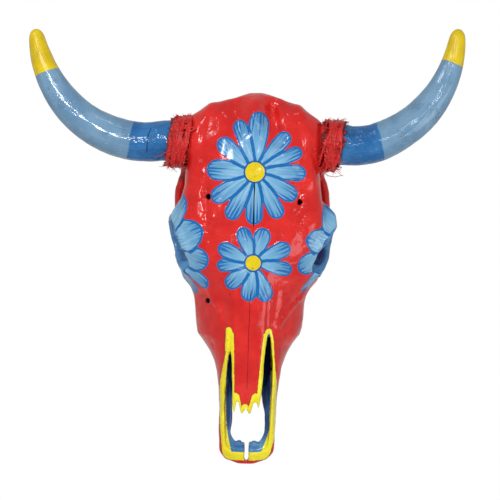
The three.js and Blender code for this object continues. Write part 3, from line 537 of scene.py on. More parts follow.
    def part(self):
        """Parts the field into bones. Yields each bone's name, points, faces, normals and share of painted shade on
        suture walls.
        """
        first = np.full(self.shape, 1.0, np.float32)
        second = np.full(self.shape, 1.0, np.float32)
        owner = np.full(self.shape, 255, np.uint8)
        own = {}
        for number, (name, (points, corners)) in enumerate(self.surfaces.items()):
            low, where = self.reach_of(points)
            height = points[:, 2] * 1000 + NAIL[2]
            swayed = points.copy()
            swayed[:, 0] += np.interp(height, *zip(*SWAY)) / 1000 * np.exp(-(points[:, 0] / 0.03) ** 2)
            distance = np.zeros([s.stop - s.start for s in where], np.float32)
            self.level_set(swayed, corners, BONE_BAND).copyToArray(distance, ijk=tuple(int(v) for v in low + self.low))
            closer = distance < first[where]
            second[where] = np.where(closer, first[where], np.minimum(second[where], distance))
            first[where] = np.where(closer, distance, first[where])
            owner[where][closer] = number
            own[name] = (number, low, where, distance)
        gaps = self.gaps()
        for name, (number, low, where, distance) in own.items():
            beyond = np.where(owner[where] == number, first[where] - second[where], distance - first[where]) / 2
            if name.startswith("frontal"):
                self.close_poll(name, beyond, first[where], where)
            yield name, *self.polygons(self.field[where], beyond + gaps[where], low)

    def close_poll(self, name, beyond, first, where):
        """Parts the swelling of the poll at the midline, so that no wedge opens between its two halves."""
        x, y, z = self.axes()
        x, y, z = x[where[0]], y[:, where[1]], z[:, :, where[2]]
        share = ease(first, 0.0, POLL_RISE) * within((x, y, z), POLL_REGION)
        across = (x - np.interp(z, *zip(*SWAY))) / 1000
        beyond[:] = beyond * (1 - share) + (across if name.endswith("left") else -across) * share

    def polygons(self, bone, beyond, low):
        grid = vdb.FloatGrid()
        grid.copyFromArray(np.maximum(bone, beyond))
        points, _, quads = grid.convertToPolygons(isovalue=0.0, adaptivity=0.0)
        points = points.astype(np.float64)
        quads = main_bodies(len(points), quads.astype(np.int64))
        used, quads = np.unique(quads, return_inverse=True)
        points, quads = points[used], quads.reshape(-1, 4)
        self.sharpen(bone, beyond, points)
        normals = slope(bone, points)
        normals /= np.linalg.norm(normals, axis=1, keepdims=True) + 1e-12
        # Points on the walls of sutures and cracks get painted shade, near-black like the inside of a gap
        gap_shade = ease(sample(bone, points), -0.2 * VOXEL, -0.9 * VOXEL)
        return (points + low + self.low) * VOXEL, quads, normals, gap_shade

    @staticmethod
    def sharpen(bone, beyond, points):
        """Moves the points along a suture's edge onto the edge itself, so that two bones meet without a groove."""
        edge = np.abs(sample(bone, points)) < VOXEL
        edge &= np.abs(sample(beyond, points)) < VOXEL
        start = points[edge].copy()
        at = start.copy()
        for _ in range(4):
            a, b = sample(bone, at)[:, None], sample(beyond, at)[:, None]
            ga, gb = slope(bone, at), slope(beyond, at)
            aa, bb, ab = [(m * n).sum(1, keepdims=True) for m, n in ((ga, ga), (gb, gb), (ga, gb))]
            det = np.maximum(aa * bb - ab * ab, 0.05 * aa * bb) + 1e-18
            step = ga * (a * bb - b * ab) / det + gb * (b * aa - a * ab) / det
            at -= np.clip(step, -0.5, 0.5)
        points[edge] = start + np.clip(at - start, -0.9, 0.9)


def main_bodies(count, faces):
    """The faces of the connected bodies that are large enough to see."""
    label = np.arange(count)
    while True:
        least = label[faces].min(1)
        new = label.copy()
        for k in range(faces.shape[1]):
            np.minimum.at(new, faces[:, k], least)
        new = new[new]
        if (new == label).all():
            break
        label = new
    body = label[faces[:, 0]]
    names, counts = np.unique(body, return_counts=True)
    return faces[np.isin(body, names[counts > LEAST_BODY])]


def mesh_piece(name, points, faces):
    mesh = bpy.data.meshes.new(name)
    mesh.vertices.add(len(points))
    mesh.vertices.foreach_set("co", points.astype(np.float32).ravel())
    mesh.loops.add(faces.size)
    mesh.loops.foreach_set("vertex_index", faces.astype(np.int32).ravel())
    mesh.polygons.add(len(faces))
    mesh.polygons.foreach_set("loop_start", np.arange(0, faces.size, faces.shape[1], dtype=np.int32))
    mesh.polygons.foreach_set("use_smooth", np.ones(len(faces), bool))
    mesh.update(calc_edges=True)
    piece = bpy.data.objects.new(name, mesh)
    bpy.context.scene.collection.objects.link(piece)
    return piece


def tag(piece, name, values):
    """Stores one number, or three, for each point of a piece."""
    kind = "FLOAT" if values.ndim == 1 else "FLOAT_VECTOR"
    stored = piece.data.attributes.new(name, kind, "POINT")
    stored.data.foreach_set("value" if values.ndim == 1 else "vector", values.astype(np.float32).ravel())


# Painted flowers. A petal: angle clockwise from straight up in degrees, reach from the middle, full width
FOREHEAD_FLOWER = {
    "middle": (2.5, 378.7),
    "disc": 12.4,
    "petals": (
        (3.5, 77, 26.6), (39.5, 66, 20.3), (63.5, 66, 17.8), (89.5, 65.4, 21.2), (120.5, 62.5, 22.8),
        (149.5, 66.7, 21.2), (179.5, 66.7, 22.8), (207.5, 68.5, 21.2), (235.5, 65.3, 22.8), (272, 61.8, 27.5),
        (310.5, 62, 22.2), (340.5, 70.4, 19),
    ),
}
FACE_FLOWER = {
    "middle": (3.2, 263.3),
    "disc": 9.6,
    "petals": (
        (17.5, 47, 22.2), (64, 52, 21.6), (99.5, 50.7, 19), (157.5, 52.5, 22.2), (186.5, 49, 21.2),
        (226.5, 45.6, 21.2), (264.5, 46.3, 17.8), (294.5, 49.2, 20.3), (340.5, 47.8, 20.3),
    ),
}
DAISY_FOOT = 0.42
LANE = 10
# Petals round an eye: angle from straight up towards the front, half angle, reach from the eye's middle
EYE_MIDDLE = (92, 54, 291)
EYE_AXIS = (0.9, -0.27, -0.33)
EYE_RIM = 29.5
EYE_RING = 40
EYE_FOOT = 0.8
# The blue hollow of an eye socket: reach of the blue along the cut edge, furthest from the middle, deepest, and how
# far from the axis its wall may be
CUT_REACH, HOLLOW_REACH, HOLLOW_DEPTH, WALL_REACH = 13.6, 66, 36, 38
# The petals start this far inside the rim, and end this deep
RIM_INSIDE, RIM_DEPTH = 3, 26
EYE_PETALS = {
    -1: (
        (-160, 14, 62), (-125, 18, 58), (-90, 20, 56), (-55, 18, 58), (-20, 14, 60),
        (178, 11, 74), (152.5, 11, 76), (126, 20.5, 63), (80.5, 27, 57), (28, 22.5, 65),
    ),
    1: (
        (-150, 16, 58), (-115, 18, 55), (-80, 18, 54), (-46, 16, 54), (-20, 13, 52),
        (170, 11, 68.5), (133, 21, 57), (22, 27.5, 53), (84, 23, 49),
    ),
}
# Nose: the lines, x and z, along which the yellow and the blue paint meet
NOSTRIL_LINES = {
    -1: (
        (0, 17), (10, 17), (18.5, 17), (22, 31), (25.8, 51), (27.5, 80), (27.6, 101), (27.4, 118), (25.9, 137),
        (24, 152), (22.5, 150),
    ),
    1: ((0, 17), (10, 17), (20, 18), (26, 33), (29.5, 46), (30.5, 101), (29, 163), (26, 177), (22.5, 167)),
}
NOSTRIL_BAND = ((8, 11.6), (18, 11.6), (31, 9.6), (50, 7.8), (110, 7.5), (140, 4.5), (165, 3.4), (177, 3.2))
CLOSED_SEAM = ((-26, 152), (-25.8, 178))
NOSTRIL_FLOOR = ((60, 70), (92, 76), (133, 94), (171, 108), (270, 113))
NASAL_LINE = (
    (22.5, 178), (19.5, 121), (18, 86), (16.5, 73), (14.5, 76), (13, 94), (11.5, 93), (6, 69), (4, 68), (0.4, 80),
)
NASAL_BAND = ((66, 3.6), (92, 3.6), (100, 3.8), (150, 3.6), (178, 3.0))
NOSTRIL_TOP = (25.8, 173.5)
# The nasal bones' free ends lean this far, from this height down over this length, and fold under at this slope
NASAL_LEAN, NASAL_TOP, NASAL_LENGTH = 2.5, 171, 103
NASAL_UNDER = 0.35
# Pits in the paint along the grooves of the forehead: distance from the midline, and half width
PITTED_LINE, PITTED_HALF = 58, 12


def petal_edge(along, across, start, reach, half, foot):
    """How far inside a petal a point lies, in millimetres, below zero outside it."""
    crown = reach - 1.15 * half
    run = np.clip((along - start) / (crown - start), 0, 1)
    width = half * (foot + (1 - foot) * (1 - (1 - run) ** 2))
    end = (1 - np.hypot((along - crown) / (reach - crown), across / half)) * half
    return np.where(along < 0, -np.hypot(along, across), np.where(along < crown, width - np.abs(across), end))


class Strokes:
    """The petals painted on a bone: distance inside the outline, place along the petal and across it."""

    def __init__(self, count):
        self.edge = np.full(count, -50.0)
        self.along = np.zeros(count)
        self.across = np.zeros(count)
        self.number = 0

    def paint(self, edge, along, across):
        """Paints a petal over what is there: its own outline parts it from the petals beneath."""
        over = edge > 0
        under = np.where(self.edge > 0, np.minimum(self.edge, -edge), np.maximum(self.edge, edge))
        self.edge = np.where(over, edge, under)
        self.along = np.where(over, along, self.along)
        self.number += 1
        self.across = np.where(over, across + 4 * self.number, self.across)

    def flower(self, flower, points, facing):
        dx, dz = points[:, 0] - flower["middle"][0], points[:, 2] - flower["middle"][1]
        for turn, reach, width in flower["petals"]:
            way = math.radians(turn)
            along = dx * math.sin(way) + dz * math.cos(way)
            across = dx * math.cos(way) - dz * math.sin(way)
            edge = petal_edge(along, across, flower["disc"], reach, width / 2, DAISY_FOOT)
            edge = np.minimum(edge, (facing - 0.25) * 20)
            self.paint(edge, (along - flower["disc"]) / (reach - flower["disc"]), across / LANE)
        return flower["disc"] - np.hypot(dx, dz)

    def eye(self, side, points, normals):
        axis = unit(np.array(EYE_AXIS) * (side, 1, 1))
        up = unit(np.array([0, 0, 1]) - axis[2] * axis)
        front = np.array([0, -1, 0]) + axis[1] * axis
        front = unit(front - (front @ up) * up)
        off = points - np.array(EYE_MIDDLE) * (side, 1, 1)
        out = off @ axis
        distance = np.linalg.norm(off, axis=1)
        aside = np.sqrt(np.maximum(distance ** 2 - out ** 2, 0))
        turn = np.arctan2(off @ front, off @ up)
        cut = CUT_REACH - from_run(points.T, *[place for place, _ in EYE_CUT[side]])[1]
        rim = np.minimum(np.minimum(aside - EYE_RIM + RIM_INSIDE, (out + RIM_DEPTH) * 0.8), 1.5 - cut)
        self.paint(np.minimum(EYE_RING - distance, rim), distance / 90, turn)
        for middle, spread, reach in EYE_PETALS[side]:
            away = (turn - math.radians(middle) + math.pi) % TURN - math.pi
            along, across = distance * np.cos(away), distance * np.sin(away)
            half = (EYE_RIM + reach) / 2 * math.tan(math.radians(spread))
            edge = np.minimum(petal_edge(along, across, EYE_RIM, reach, half, EYE_FOOT), rim)
            self.paint(edge, (along - EYE_RIM) / (reach - EYE_RIM), across / LANE)
        inward = ((normals @ axis) * out - (normals * off).sum(1)) / np.maximum(aside, 1)
        wall = np.minimum((inward - 0.15) * 12, WALL_REACH - aside)
        hollow = np.maximum(np.maximum(EYE_RIM - 1.5 - aside, cut), wall)
        return np.minimum(hollow, np.minimum(HOLLOW_REACH - distance, out + HOLLOW_DEPTH))


def nostril_top(x, z):
    """Rounds the yellow off above a nostril."""
    return np.where(z > NOSTRIL_TOP[1], 5.0 - np.hypot(np.abs(x) - NOSTRIL_TOP[0], 0.7 * (z - NOSTRIL_TOP[1])), 50)


def nose_paint(name, points, facing):
    """How far inside the yellow paint and inside the blue paint of the nose each point lies."""
    x, y, z = points.T
    if name.startswith("nasal"):
        lean = NASAL_LEAN * np.clip((NASAL_TOP - z) / NASAL_LENGTH, 0, 1)
        aside = np.abs(x + lean)
        near = line_distance(aside, z, NASAL_LINE)
        near = np.where(inside_line(aside, z, (*NASAL_LINE, (-1, 80), (-1, 250), (22.5, 250))), near, -near)
        yellow = np.minimum(np.interp(z, *zip(*NASAL_BAND)) - near, nostril_top(x, z))
        over = (facing + NASAL_UNDER) * 8
        return np.minimum(yellow, over), np.minimum(-over, 200 - z)
    blue = np.empty(len(x))
    for sign, line in NOSTRIL_LINES.items():
        here = x * sign >= 0
        aside, up = np.abs(x[here]), z[here]
        near = line_distance(aside, up, line)
        blue[here] = np.where(inside_line(aside, up, (*line, (-1, line[-1][1]), (-1, 17))), near, -near)
    band = np.maximum(np.interp(z, *zip(*NOSTRIL_BAND)) + blue, 3.6 - line_distance(x, z, CLOSED_SEAM))
    yellow = np.minimum(np.minimum(band, nostril_top(x, z)), (facing - 0.1) * 12)
    floor = np.interp(z, *zip(*NOSTRIL_FLOOR)) + 4
    return np.where(blue > 0, -blue, yellow), np.minimum(blue, floor - y)


def paint_bone(piece, name, points, normals, gap_shade):
    """Stores on a bone where each of its paints goes, and where shade is painted: near-black on crack walls and in
    holes, darker blue deep in the nose.
    """
    points = points * 1000 + NAIL
    facing = -normals[:, 1]
    strokes = Strokes(len(points))
    yellow, blue = nose_paint(name, points, facing)
    hollow = np.maximum(*[strokes.eye(side, points, normals) for side in (-1, 1)])
    front = np.where(points[:, 1] < 70, facing, -1)
    disc = np.maximum(*[strokes.flower(flower, points, front) for flower in (FACE_FLOWER, FOREHEAD_FLOWER)])
    disc = np.minimum(disc, (front - 0.2) * 40)
    # Painted shade inside the holes, darker further in
    for centre, radius, way in HOLES:
        off = points - centre
        way = unit(way)
        run = off @ way
        away = np.linalg.norm(off - run[:, None] * way, axis=1)
        deep = np.maximum(ease(facing, 0.8, 0.45), ease(run, 2.5, 5)) * (points[:, 1] < 60)
        gap_shade = np.maximum(gap_shade, ease(away, radius + 1.4, radius + 0.6) * deep)
    x, y, z = np.abs(points[:, 0]), points[:, 1], points[:, 2]
    # Painted shade inside the nose: the blue darkens deeper in and higher up, and none is painted in the eye hollows
    shade = np.where(hollow > -2, 0.0, np.maximum(ease(y, 50, 68), 0.85 * ease(z, 30, 56)))
    pitted = np.exp(-((x - PITTED_LINE) / PITTED_HALF) ** 2) * ease(z, 290, 310) * ease(z, 400, 370)
    tag(piece, "petal", np.stack([strokes.edge, strokes.along, strokes.across], axis=1))
    tag(piece, "trim", np.stack([disc, yellow, np.maximum(blue, np.minimum(hollow, 8))], axis=1))
    # Painted shade of cracks and holes, pits in the paint, and painted shade inside the nose
    tag(piece, "wear", np.stack([gap_shade, pitted * ease(facing, 0.2, 0.6), shade], axis=1))


def bone_paint():
    """Gloss paint brushed on bone: red, with blue daisies, yellow edges and blue hollows, with painted shade: darker
    blue deep in the nose, near-black on crack walls and in holes.
    """
    paint = Shader("bone_paint", IOR=1.4)
    place = paint.place()
    edge, along, across = paint.parts(paint.tag("petal"))
    disc, yellow, blue = paint.parts(paint.tag("trim"))
    gap_shade, pitted, shade = paint.parts(paint.tag("wear"))
    wobble = (paint.noise(place, 260, 2) - 0.5) * 1.5
    edge, disc, yellow, blue = edge + wobble, disc + wobble, yellow + wobble, blue + wobble
    patch = paint.noise(place, 38, 4, 0.6)
    fine = paint.noise(place, 420, 3, 0.6)

    red = paint.mix(patch.rise(0.3, 0.72), (207, 27, 25), (229, 43, 38))
    red = paint.mix(fine.rise(0.58, 0.74) * 0.3, red, (172, 24, 26))

    lane = across * 2.3 + (paint.noise(paint.whole(across * 1.4, along * 1.3, 7), 1.0, 1) - 0.5) * 1.2
    stroke = lane.maths("FLOOR", lane)
    aside = abs(lane - stroke - 0.5)
    chance = paint.node("ShaderNodeTexWhiteNoise", {"noise_dimensions": "1D"}, {"W": stroke})
    pale = paint.noise(paint.whole(across * 4.6, along * 1.1, 5), 1.3, 2).rise(0.5, 0.64)
    tips = (((along - 0.4 - chance * 0.36) * 0.95).least(0.36) - aside).rise(-0.05, 0.04)
    roots = ((0.34 * chance - along).least(0.16) - aside).rise(-0.03, 0.04)
    petal = paint.mix(along.rise(0.0, 0.8), (128, 184, 218), (92, 155, 202))
    petal = paint.mix(pale * along.rise(1.0, 0.2) * 0.6, petal, (170, 208, 231))
    petal = paint.mix(pale * along.rise(0.4, 0.8) * 0.45, petal, (130, 184, 218))
    petal = paint.mix(tips.most(roots * 0.45) * 0.9, petal, (14, 104, 178))
    petal = paint.mix(edge.rise(2.5, 1.9), petal, (6, 106, 178))
    skin = paint.mix(edge.rise(-0.2, 0.1), red, petal)

    gold = paint.mix(fine.rise(0.4, 0.7), (234, 210, 14), (222, 190, 10))
    skin = paint.mix(disc.rise(-2.3, -1.9), skin, (8, 92, 160))
    skin = paint.mix(disc.rise(-0.2, 0.25), skin, gold)

    trim = paint.mix(patch.rise(0.35, 0.65), (246, 226, 32), (255, 245, 48))
    trim = paint.mix(fine.rise(0.58, 0.7) * 0.4, trim, (190, 150, 40))
    skin = paint.mix(yellow.rise(-1.1, -0.5) * 0.55, skin, (130, 14, 36))
    skin = paint.mix(yellow.rise(-0.3, 0.3), skin, trim)

    deep = paint.mix(patch.rise(0.35, 0.7), (66, 120, 174), (94, 150, 198))
    # Painted shade: a darker copy of the blue, mixed in deeper inside the nose
    deep = paint.mix(shade, deep, paint.mix(patch.rise(0.35, 0.7), (14, 50, 108), (30, 76, 140)))
    skin = paint.mix(blue.rise(-0.4, 0.4), skin, deep)
    # Painted shade: near-black on the walls of cracks and inside holes
    skin = paint.mix(gap_shade.rise(0.2, 0.9), skin, (44, 10, 14))
    paint.put("Base Color", skin)

    brush = paint.noise(place, 130, 3, 0.55)
    painted = edge.rise(-0.9, 0.2).most(yellow.rise(-0.3, 0.6)).most(disc.rise(-1.9, -0.8))
    pits = paint.noise(place, 330, 1).rise(0.62, 0.8) * (pitted * 0.9 + 0.1)
    paint.put("Roughness", 0.1 + 0.09 * brush + 0.03 * painted)
    paint.bump(brush * 0.5 + painted * 0.2 + fine * 0.1 - pits * 0.6, 0.0009, 0.8)
    return paint.material


def lean_nose(points):
    """Leans the front of the nose a little to one side."""
    y, z = points[:, 1] * 1000 + NAIL[1], points[:, 2] * 1000 + NAIL[2]
    points[:, 0] += NOSE_LEAN / 1000 * ease(z, 175, 110) * ease(y, 95, 75)


BONE_PAINT = bone_paint()
head = Head()
for name, points, faces, normals, gap_shade in head.part():
    lean_nose(points)
    bone = mesh_piece(name.replace("_bone", ""), points, faces)
    paint_bone(bone, name, points, normals, gap_shade)
    bone.data.set_sharp_from_angle(angle=math.radians(55))
    bone.data.materials.append(BONE_PAINT)
    keep(bone, name)


# Modelling as by hand
def extrude(move):
    bpy.ops.mesh.extrude_region_move(TRANSFORM_OT_translate={"value": move})


def begin(add, **how):
    """Starts a piece from a primitive and opens it for editing."""
    bpy.ops.object.select_all(action="DESELECT")
    add(**how)
    bpy.ops.object.transform_apply(location=True, rotation=True, scale=True)
    bpy.ops.object.mode_set(mode="EDIT")
    bpy.ops.mesh.select_all(action="SELECT")
    return bpy.context.object


def finished(piece, name, level):
    """Closes a piece's editing, turns its faces outwards and gives it its smooth surface."""
    bpy.ops.mesh.select_all(action="SELECT")
    bpy.ops.mesh.normals_make_consistent(inside=False)
    bpy.ops.object.mode_set(mode="OBJECT")
    piece.name = piece.data.name = name
    if level:
        smooth = piece.modifiers.new("smooth", "SUBSURF")
        smooth.levels = smooth.render_levels = level
        bpy.ops.object.modifier_apply(modifier=smooth.name)
    bpy.ops.object.shade_smooth()


# Horns: a straight root, then a curve outwards and up. The handles are shares of the reach and of the rise
HORN_ROOT = (70, 43, 419)
HORN_BEND = 122
HORN_REACH, HORN_RISE = 285.5, 152
HORN_TIP_DEPTH = 27
HORN_HANDLES = {
    "left": ((0.666, -0.072), (0.942, 0.217), (1, 0.908)),
    "right": ((0.651, -0.013), (0.9, 0.329), (0.911, 1)),
}
SIDE = {"left": -1, "right": 1}
HORN_RADIUS, HORN_TIP_RADIUS = 27.0, 9.0
# Share of the length, and share of the way from the thick radius to that of the tip
HORN_TAPER = ((0, 0), (0.25, 0.12), (0.6, 0.42), (1, 1))
HORN_MOUTH = 30.0
BORE_RADIUS, BORE_END_RADIUS, BORE_REACH = 21.35, 7.35, 161.0
# How much fuller a horn is than its taper
HORN_SWELL = {"left": 1.5, "right": 0.8}
# Ridges round a horn by their number, growth rings by their distance, and how much of both shows
RIDGES, RIDGE_HEIGHT = (3, 5, 8, 13, 19), 0.55
RINGS, RING_HEIGHT = (9.0, 14.5, 23.0), 0.12
SWELL_SHARE = 0.55
# How far a horn is lifted in two reaches of its length: where each starts, is whole, wanes and ends
LIFT_SPOTS = ((48, 60, 84, 130), (84, 130, 220, 290))
HORN_LIFT = {"left": (-1.1, 0.0), "right": (-1.1, 1.4)}
TIP_SHIFT = {"left": 2.0, "right": -2.0}
# Rings of the lip, from the bore outwards, and angles of the rings that round the tip
LIP_RADII = (23.5, 25.6, HORN_RADIUS - 0.4)
TIP_TURNS = (30, 58, 80)
HORN_SIDES = 24
HORN_STEPS = 22
# Bands of paint: where the dark blue ends at the top and the bottom, the heights of that bottom and top, and the
# line where the yellow begins
DARK_END = {"left": (155, 163), "right": (158, 172)}
DARK_HEIGHTS = (392, 446)
TIP_LINE = {"left": ((-256, 507.2), (-283, 496.2)), "right": ((244, 530), (269.5, 520))}


class HornPath:
    """The middle line of a horn, by the distance along it, in millimetres."""

    def __init__(self, side):
        sign = SIDE[side]
        out, lift, tip = [np.array([sign * x * HORN_REACH, 0, HORN_RISE * z]) for x, z in HORN_HANDLES[side]]
        base = np.array([0, HORN_ROOT[1], HORN_ROOT[2]])
        tip = tip + (0, HORN_TIP_DEPTH - HORN_ROOT[1], 0)
        root, bend = base + (sign * HORN_ROOT[0], 0, 0), base + (sign * HORN_BEND, 0, 0)
        share = np.linspace(0, 1, 300)[:, None]
        curve = (1 - share) ** 3 * bend + 3 * (1 - share) ** 2 * share * (base + out)
        curve = curve + 3 * (1 - share) * share ** 2 * (base + lift) + share ** 3 * (base + tip)
        self.points = np.concatenate([root + (bend - root) * np.linspace(0, 1, 60)[:-1, None], curve])
        self.lengths = np.concatenate([[0], np.cumsum(np.linalg.norm(np.diff(self.points, axis=0), axis=1))])
        self.length = self.lengths[-1]
        self.ways = np.gradient(self.points, self.lengths, axis=0)

    def at(self, length):
        return np.array([np.interp(length, self.lengths, axis) for axis in self.points.T])

    def heading(self, length):
        """The angle of the line in the plane of the horns."""
        way = [np.interp(length, self.lengths, axis) for axis in self.ways.T]
        return math.atan2(way[2], way[0])

    def nearest(self, points):
        """Distance along the line, and angle round it, of each point."""
        index = np.empty(len(points), int)
        for first in range(0, len(points), 4000):
            off = points[first:first + 4000, None] - self.points[None]
            index[first:first + 4000] = (off ** 2).sum(2).argmin(1)
        off = points - self.points[index]
        way = self.ways[index]
        lift = np.stack([-way[:, 2], 0 * way[:, 0], way[:, 0]], axis=1)
        turn = np.arctan2((off * lift).sum(1), off[:, 1])
        return self.lengths[index] + (off * way).sum(1), turn, off


def horn_radius(share):
    """The horn stays thick for long and then tapers."""
    return HORN_RADIUS + (HORN_TIP_RADIUS - HORN_RADIUS) * np.interp(share, *zip(*HORN_TAPER))


def draw_ring(path, start, end, grow):
    """Pulls the selected ring along the horn from one length to the next, turning and sizing it."""
    extrude(Vector((path.at(end) - path.at(start)) / 1000))
    centre = placed(*path.at(end))
    turn = (path.heading(end) - path.heading(start) + math.pi) % TURN - math.pi
    bpy.ops.transform.rotate(value=turn, orient_axis="Y", orient_type="GLOBAL", center_override=centre)
    bpy.ops.transform.resize(value=(grow,) * 3, center_override=centre)


def horn_sheath(side):
    path = HornPath(side)
    piece = begin(
        bpy.ops.mesh.primitive_circle_add, vertices=HORN_SIDES, radius=BORE_RADIUS / 1000,
        location=placed(*path.at(BORE_REACH)), rotation=(0, math.pi / 2 - path.heading(BORE_REACH), 0),
    )
    end = placed(*path.at(BORE_REACH))
    bpy.ops.transform.resize(value=(BORE_END_RADIUS / BORE_RADIUS,) * 3, center_override=end)
    bpy.ops.mesh.edge_face_add()
    bore = np.linspace(BORE_REACH, HORN_MOUTH, 8)
    width = np.interp(bore, (HORN_MOUTH, BORE_REACH), (BORE_RADIUS, BORE_END_RADIUS))
    for k in range(len(bore) - 1):
        draw_ring(path, bore[k], bore[k + 1], width[k + 1] / width[k])
    wide = BORE_RADIUS
    for radius in LIP_RADII:
        extrude((0, 0, 0))
        bpy.ops.transform.resize(value=(radius / wide,) * 3, center_override=placed(*path.at(HORN_MOUTH)))
        wide = radius
    body = path.length - HORN_MOUTH - HORN_TIP_RADIUS
    last = HORN_MOUTH
    for share in np.linspace(0.004, 1, HORN_STEPS):
        here = HORN_MOUTH + share * body
        radius = horn_radius((here - HORN_MOUTH) / (path.length - HORN_MOUTH))
        draw_ring(path, last, here, radius / wide)
        last, wide = here, radius
    for turn in TIP_TURNS:
        here = HORN_MOUTH + body + HORN_TIP_RADIUS * math.sin(math.radians(turn))
        radius = HORN_TIP_RADIUS * math.cos(math.radians(turn))
        draw_ring(path, last, here, radius / wide)
        last, wide = here, radius
    bpy.ops.mesh.edge_face_add()
    finished(piece, "horn_" + side, 2)
    return piece, path


def weather_horn(piece, path, side):
    """Gives a horn its soft ridges and growth rings, and stores where its bands of paint go."""
    points = points_of(piece) * 1000 + NAIL
    along, turn, off = path.nearest(points)
    out = np.linalg.norm(off, axis=1)
    outer = ease(out / horn_radius(np.clip((along - HORN_MOUTH) / (path.length - HORN_MOUTH), 0, 1)), 0.9, 0.97)
    rng = np.random.default_rng(SEED + len(side))
    swell = np.zeros(len(points))
    for count in RIDGES:
        phase, drift = rng.uniform(0, 6.28), rng.uniform(-0.012, 0.012)
        swell += np.sin(count * (turn + drift * along) + phase) * RIDGE_HEIGHT / math.sqrt(count)
    for wave in RINGS:
        swell += np.sin(along / wave * 6.28 + rng.uniform(0, 6.28)) * RING_HEIGHT * ease(along, 260, 120)
    swell *= ease(along, HORN_MOUTH, HORN_MOUTH + 12) * ease(along, path.length, path.length - 30)
    grown = outer * (SWELL_SHARE * swell + HORN_SWELL[side] * ease(along, 55, 130) * ease(along, path.length, 250))
    points += off / np.maximum(out, 1e-6)[:, None] * grown[:, None]
    lift = sum(np.interp(along, spots, (0, height, height, 0)) for spots, height in zip(LIFT_SPOTS, HORN_LIFT[side]))
    points[:, 2] += outer * lift
    points[:, 0] += TIP_SHIFT[side] * ease(along, 230, 340)
    set_points(piece, (points - NAIL) / 1000)
    x, z = np.abs(points[:, 0]), points[:, 2]
    top, bottom = DARK_END[side]
    dark = np.interp(z, DARK_HEIGHTS, (bottom, top)) - x
    (ax, az), (bx, bz) = TIP_LINE[side]
    size = math.hypot(bx - ax, bz - az)
    tip = ((bx - ax) * (points[:, 2] - az) - (bz - az) * (points[:, 0] - ax)) / size
    tip = tip if SIDE[side] > 0 else -tip
    tip = np.where(points[:, 2] > 470, tip, -60)
    tag(piece, "dark", dark)
    tag(piece, "tip", tip)
    tag(piece, "round", np.stack([np.cos(turn), np.sin(turn), along / 60], axis=1))


def horn_paint():
    """Blue gloss paint over horn: dark at the root, pale in the middle, yellow at the tip."""
    paint = Shader("horn_paint", IOR=1.4)
    place = paint.place()
    dark, tip = paint.tag("dark", out="Fac"), paint.tag("tip", out="Fac")
    around = paint.tag("round")
    wobble = (paint.noise(place, 50, 2) - 0.5) * 6 + (paint.noise(place, 330, 2) - 0.5) * 1.2
    grain = paint.noise(paint.stretched(around, (9, 9, 1.4)), 1, 4, 0.6)
    patch = paint.noise(place, 30, 4, 0.6)
    fine = paint.noise(place, 330, 3, 0.6)
    pale = paint.mix(patch.rise(0.3, 0.7), (100, 140, 174), (122, 160, 190))
    pale = paint.mix(grain.rise(0.5, 0.75) * 0.3, pale, (90, 132, 172))
    pale = paint.mix(fine.rise(0.55, 0.72) * 0.25, pale, (148, 182, 204))
    blue = paint.mix(patch.rise(0.3, 0.7), (26, 96, 158), (50, 121, 181))
    blue = paint.mix(grain.rise(0.48, 0.72) * 0.5, blue, (20, 70, 134))
    gold = paint.mix(patch.rise(0.3, 0.7), (214, 182, 10), (232, 204, 24))
    skin = paint.mix((dark + wobble).rise(-1.2, 1.2), pale, blue)
    skin = paint.mix((tip + wobble * 0.35).rise(-1.2, -0.4) * 0.4, skin, (88, 130, 150))
    skin = paint.mix((tip + wobble * 0.35).rise(-0.5, 0.5), skin, gold)
    cracks = paint.noise(paint.stretched(around, (22, 22, 1.5)), 1, 2)
    cracks = abs(cracks - 0.5).rise(0.03, 0.0) * paint.noise(place, 45, 2).rise(0.55, 0.68)
    skin = paint.mix(cracks * 0.2, skin, (24, 54, 104))
    x, _, _ = paint.parts(place)
    back, over, _ = paint.parts(around)
    split = abs(dark - 24 + wobble * 0.7).rise(1.0, 0.4) * x.rise(0.0, -0.01) * back.rise(0.1, -0.1)
    split = split * (0.7 - abs(over)).rise(0.0, 0.2)
    skin = paint.mix(split * 0.7, skin, (12, 40, 92))
    paint.put("Base Color", skin)
    paint.put("Roughness", 0.1 + 0.06 * patch + 0.04 * fine + 0.15 * tip.rise(-2, 2))
    crumple = (paint.noise(place, 110, 2) + abs(paint.noise(place, 60, 2) - 0.5) * 3) * dark.rise(-4, 22) - split
    paint.bump(grain * 0.35 + fine * 0.1 - cracks * 0.6 + crumple * 2.8, 0.0006, 0.8)
    return paint.material


HORN_PAINT = horn_paint()
for side in SIDE:
    horn, path = horn_sheath(side)
    weather_horn(horn, path, side)
    horn.data.materials.append(HORN_PAINT)
    keep(horn, "horn_sheath_" + side)


# Rope wraps: one rope of three strands wound round the root of each horn, under a tangle of loose yarn
ROOT = HORN_ROOT[0]
ROPE_DIAMETER = 5.5
ROPE_TURNS = 3.5
ROPE_PITCH = 6.1
ROPE_START = 22.5
ROPE_SEAT = 0.35
WRAP_RADIUS = 33
WRAP_EDGES = (18.5, 46.5)
# By side, how far each wrap has slipped towards the head, and how much further at its top. There it also rides up
ROPE_SLIP = {-1: 7.0, 1: 2.0}
ROPE_LEAN = {-1: 4.5, 1: -4.5}
ROPE_RIDE = 2.2
ROPE_SAG = 1.2
ROPE_POINTS = 330
STRANDS = 3
STRAND_RADIUS = 1.36
STRAND_LAY = 13.0
YARNS = 44
SHREDS = 130
HAIRS = 120
FRINGE = 130
LOOPS = 34
CLOG = 0.00062
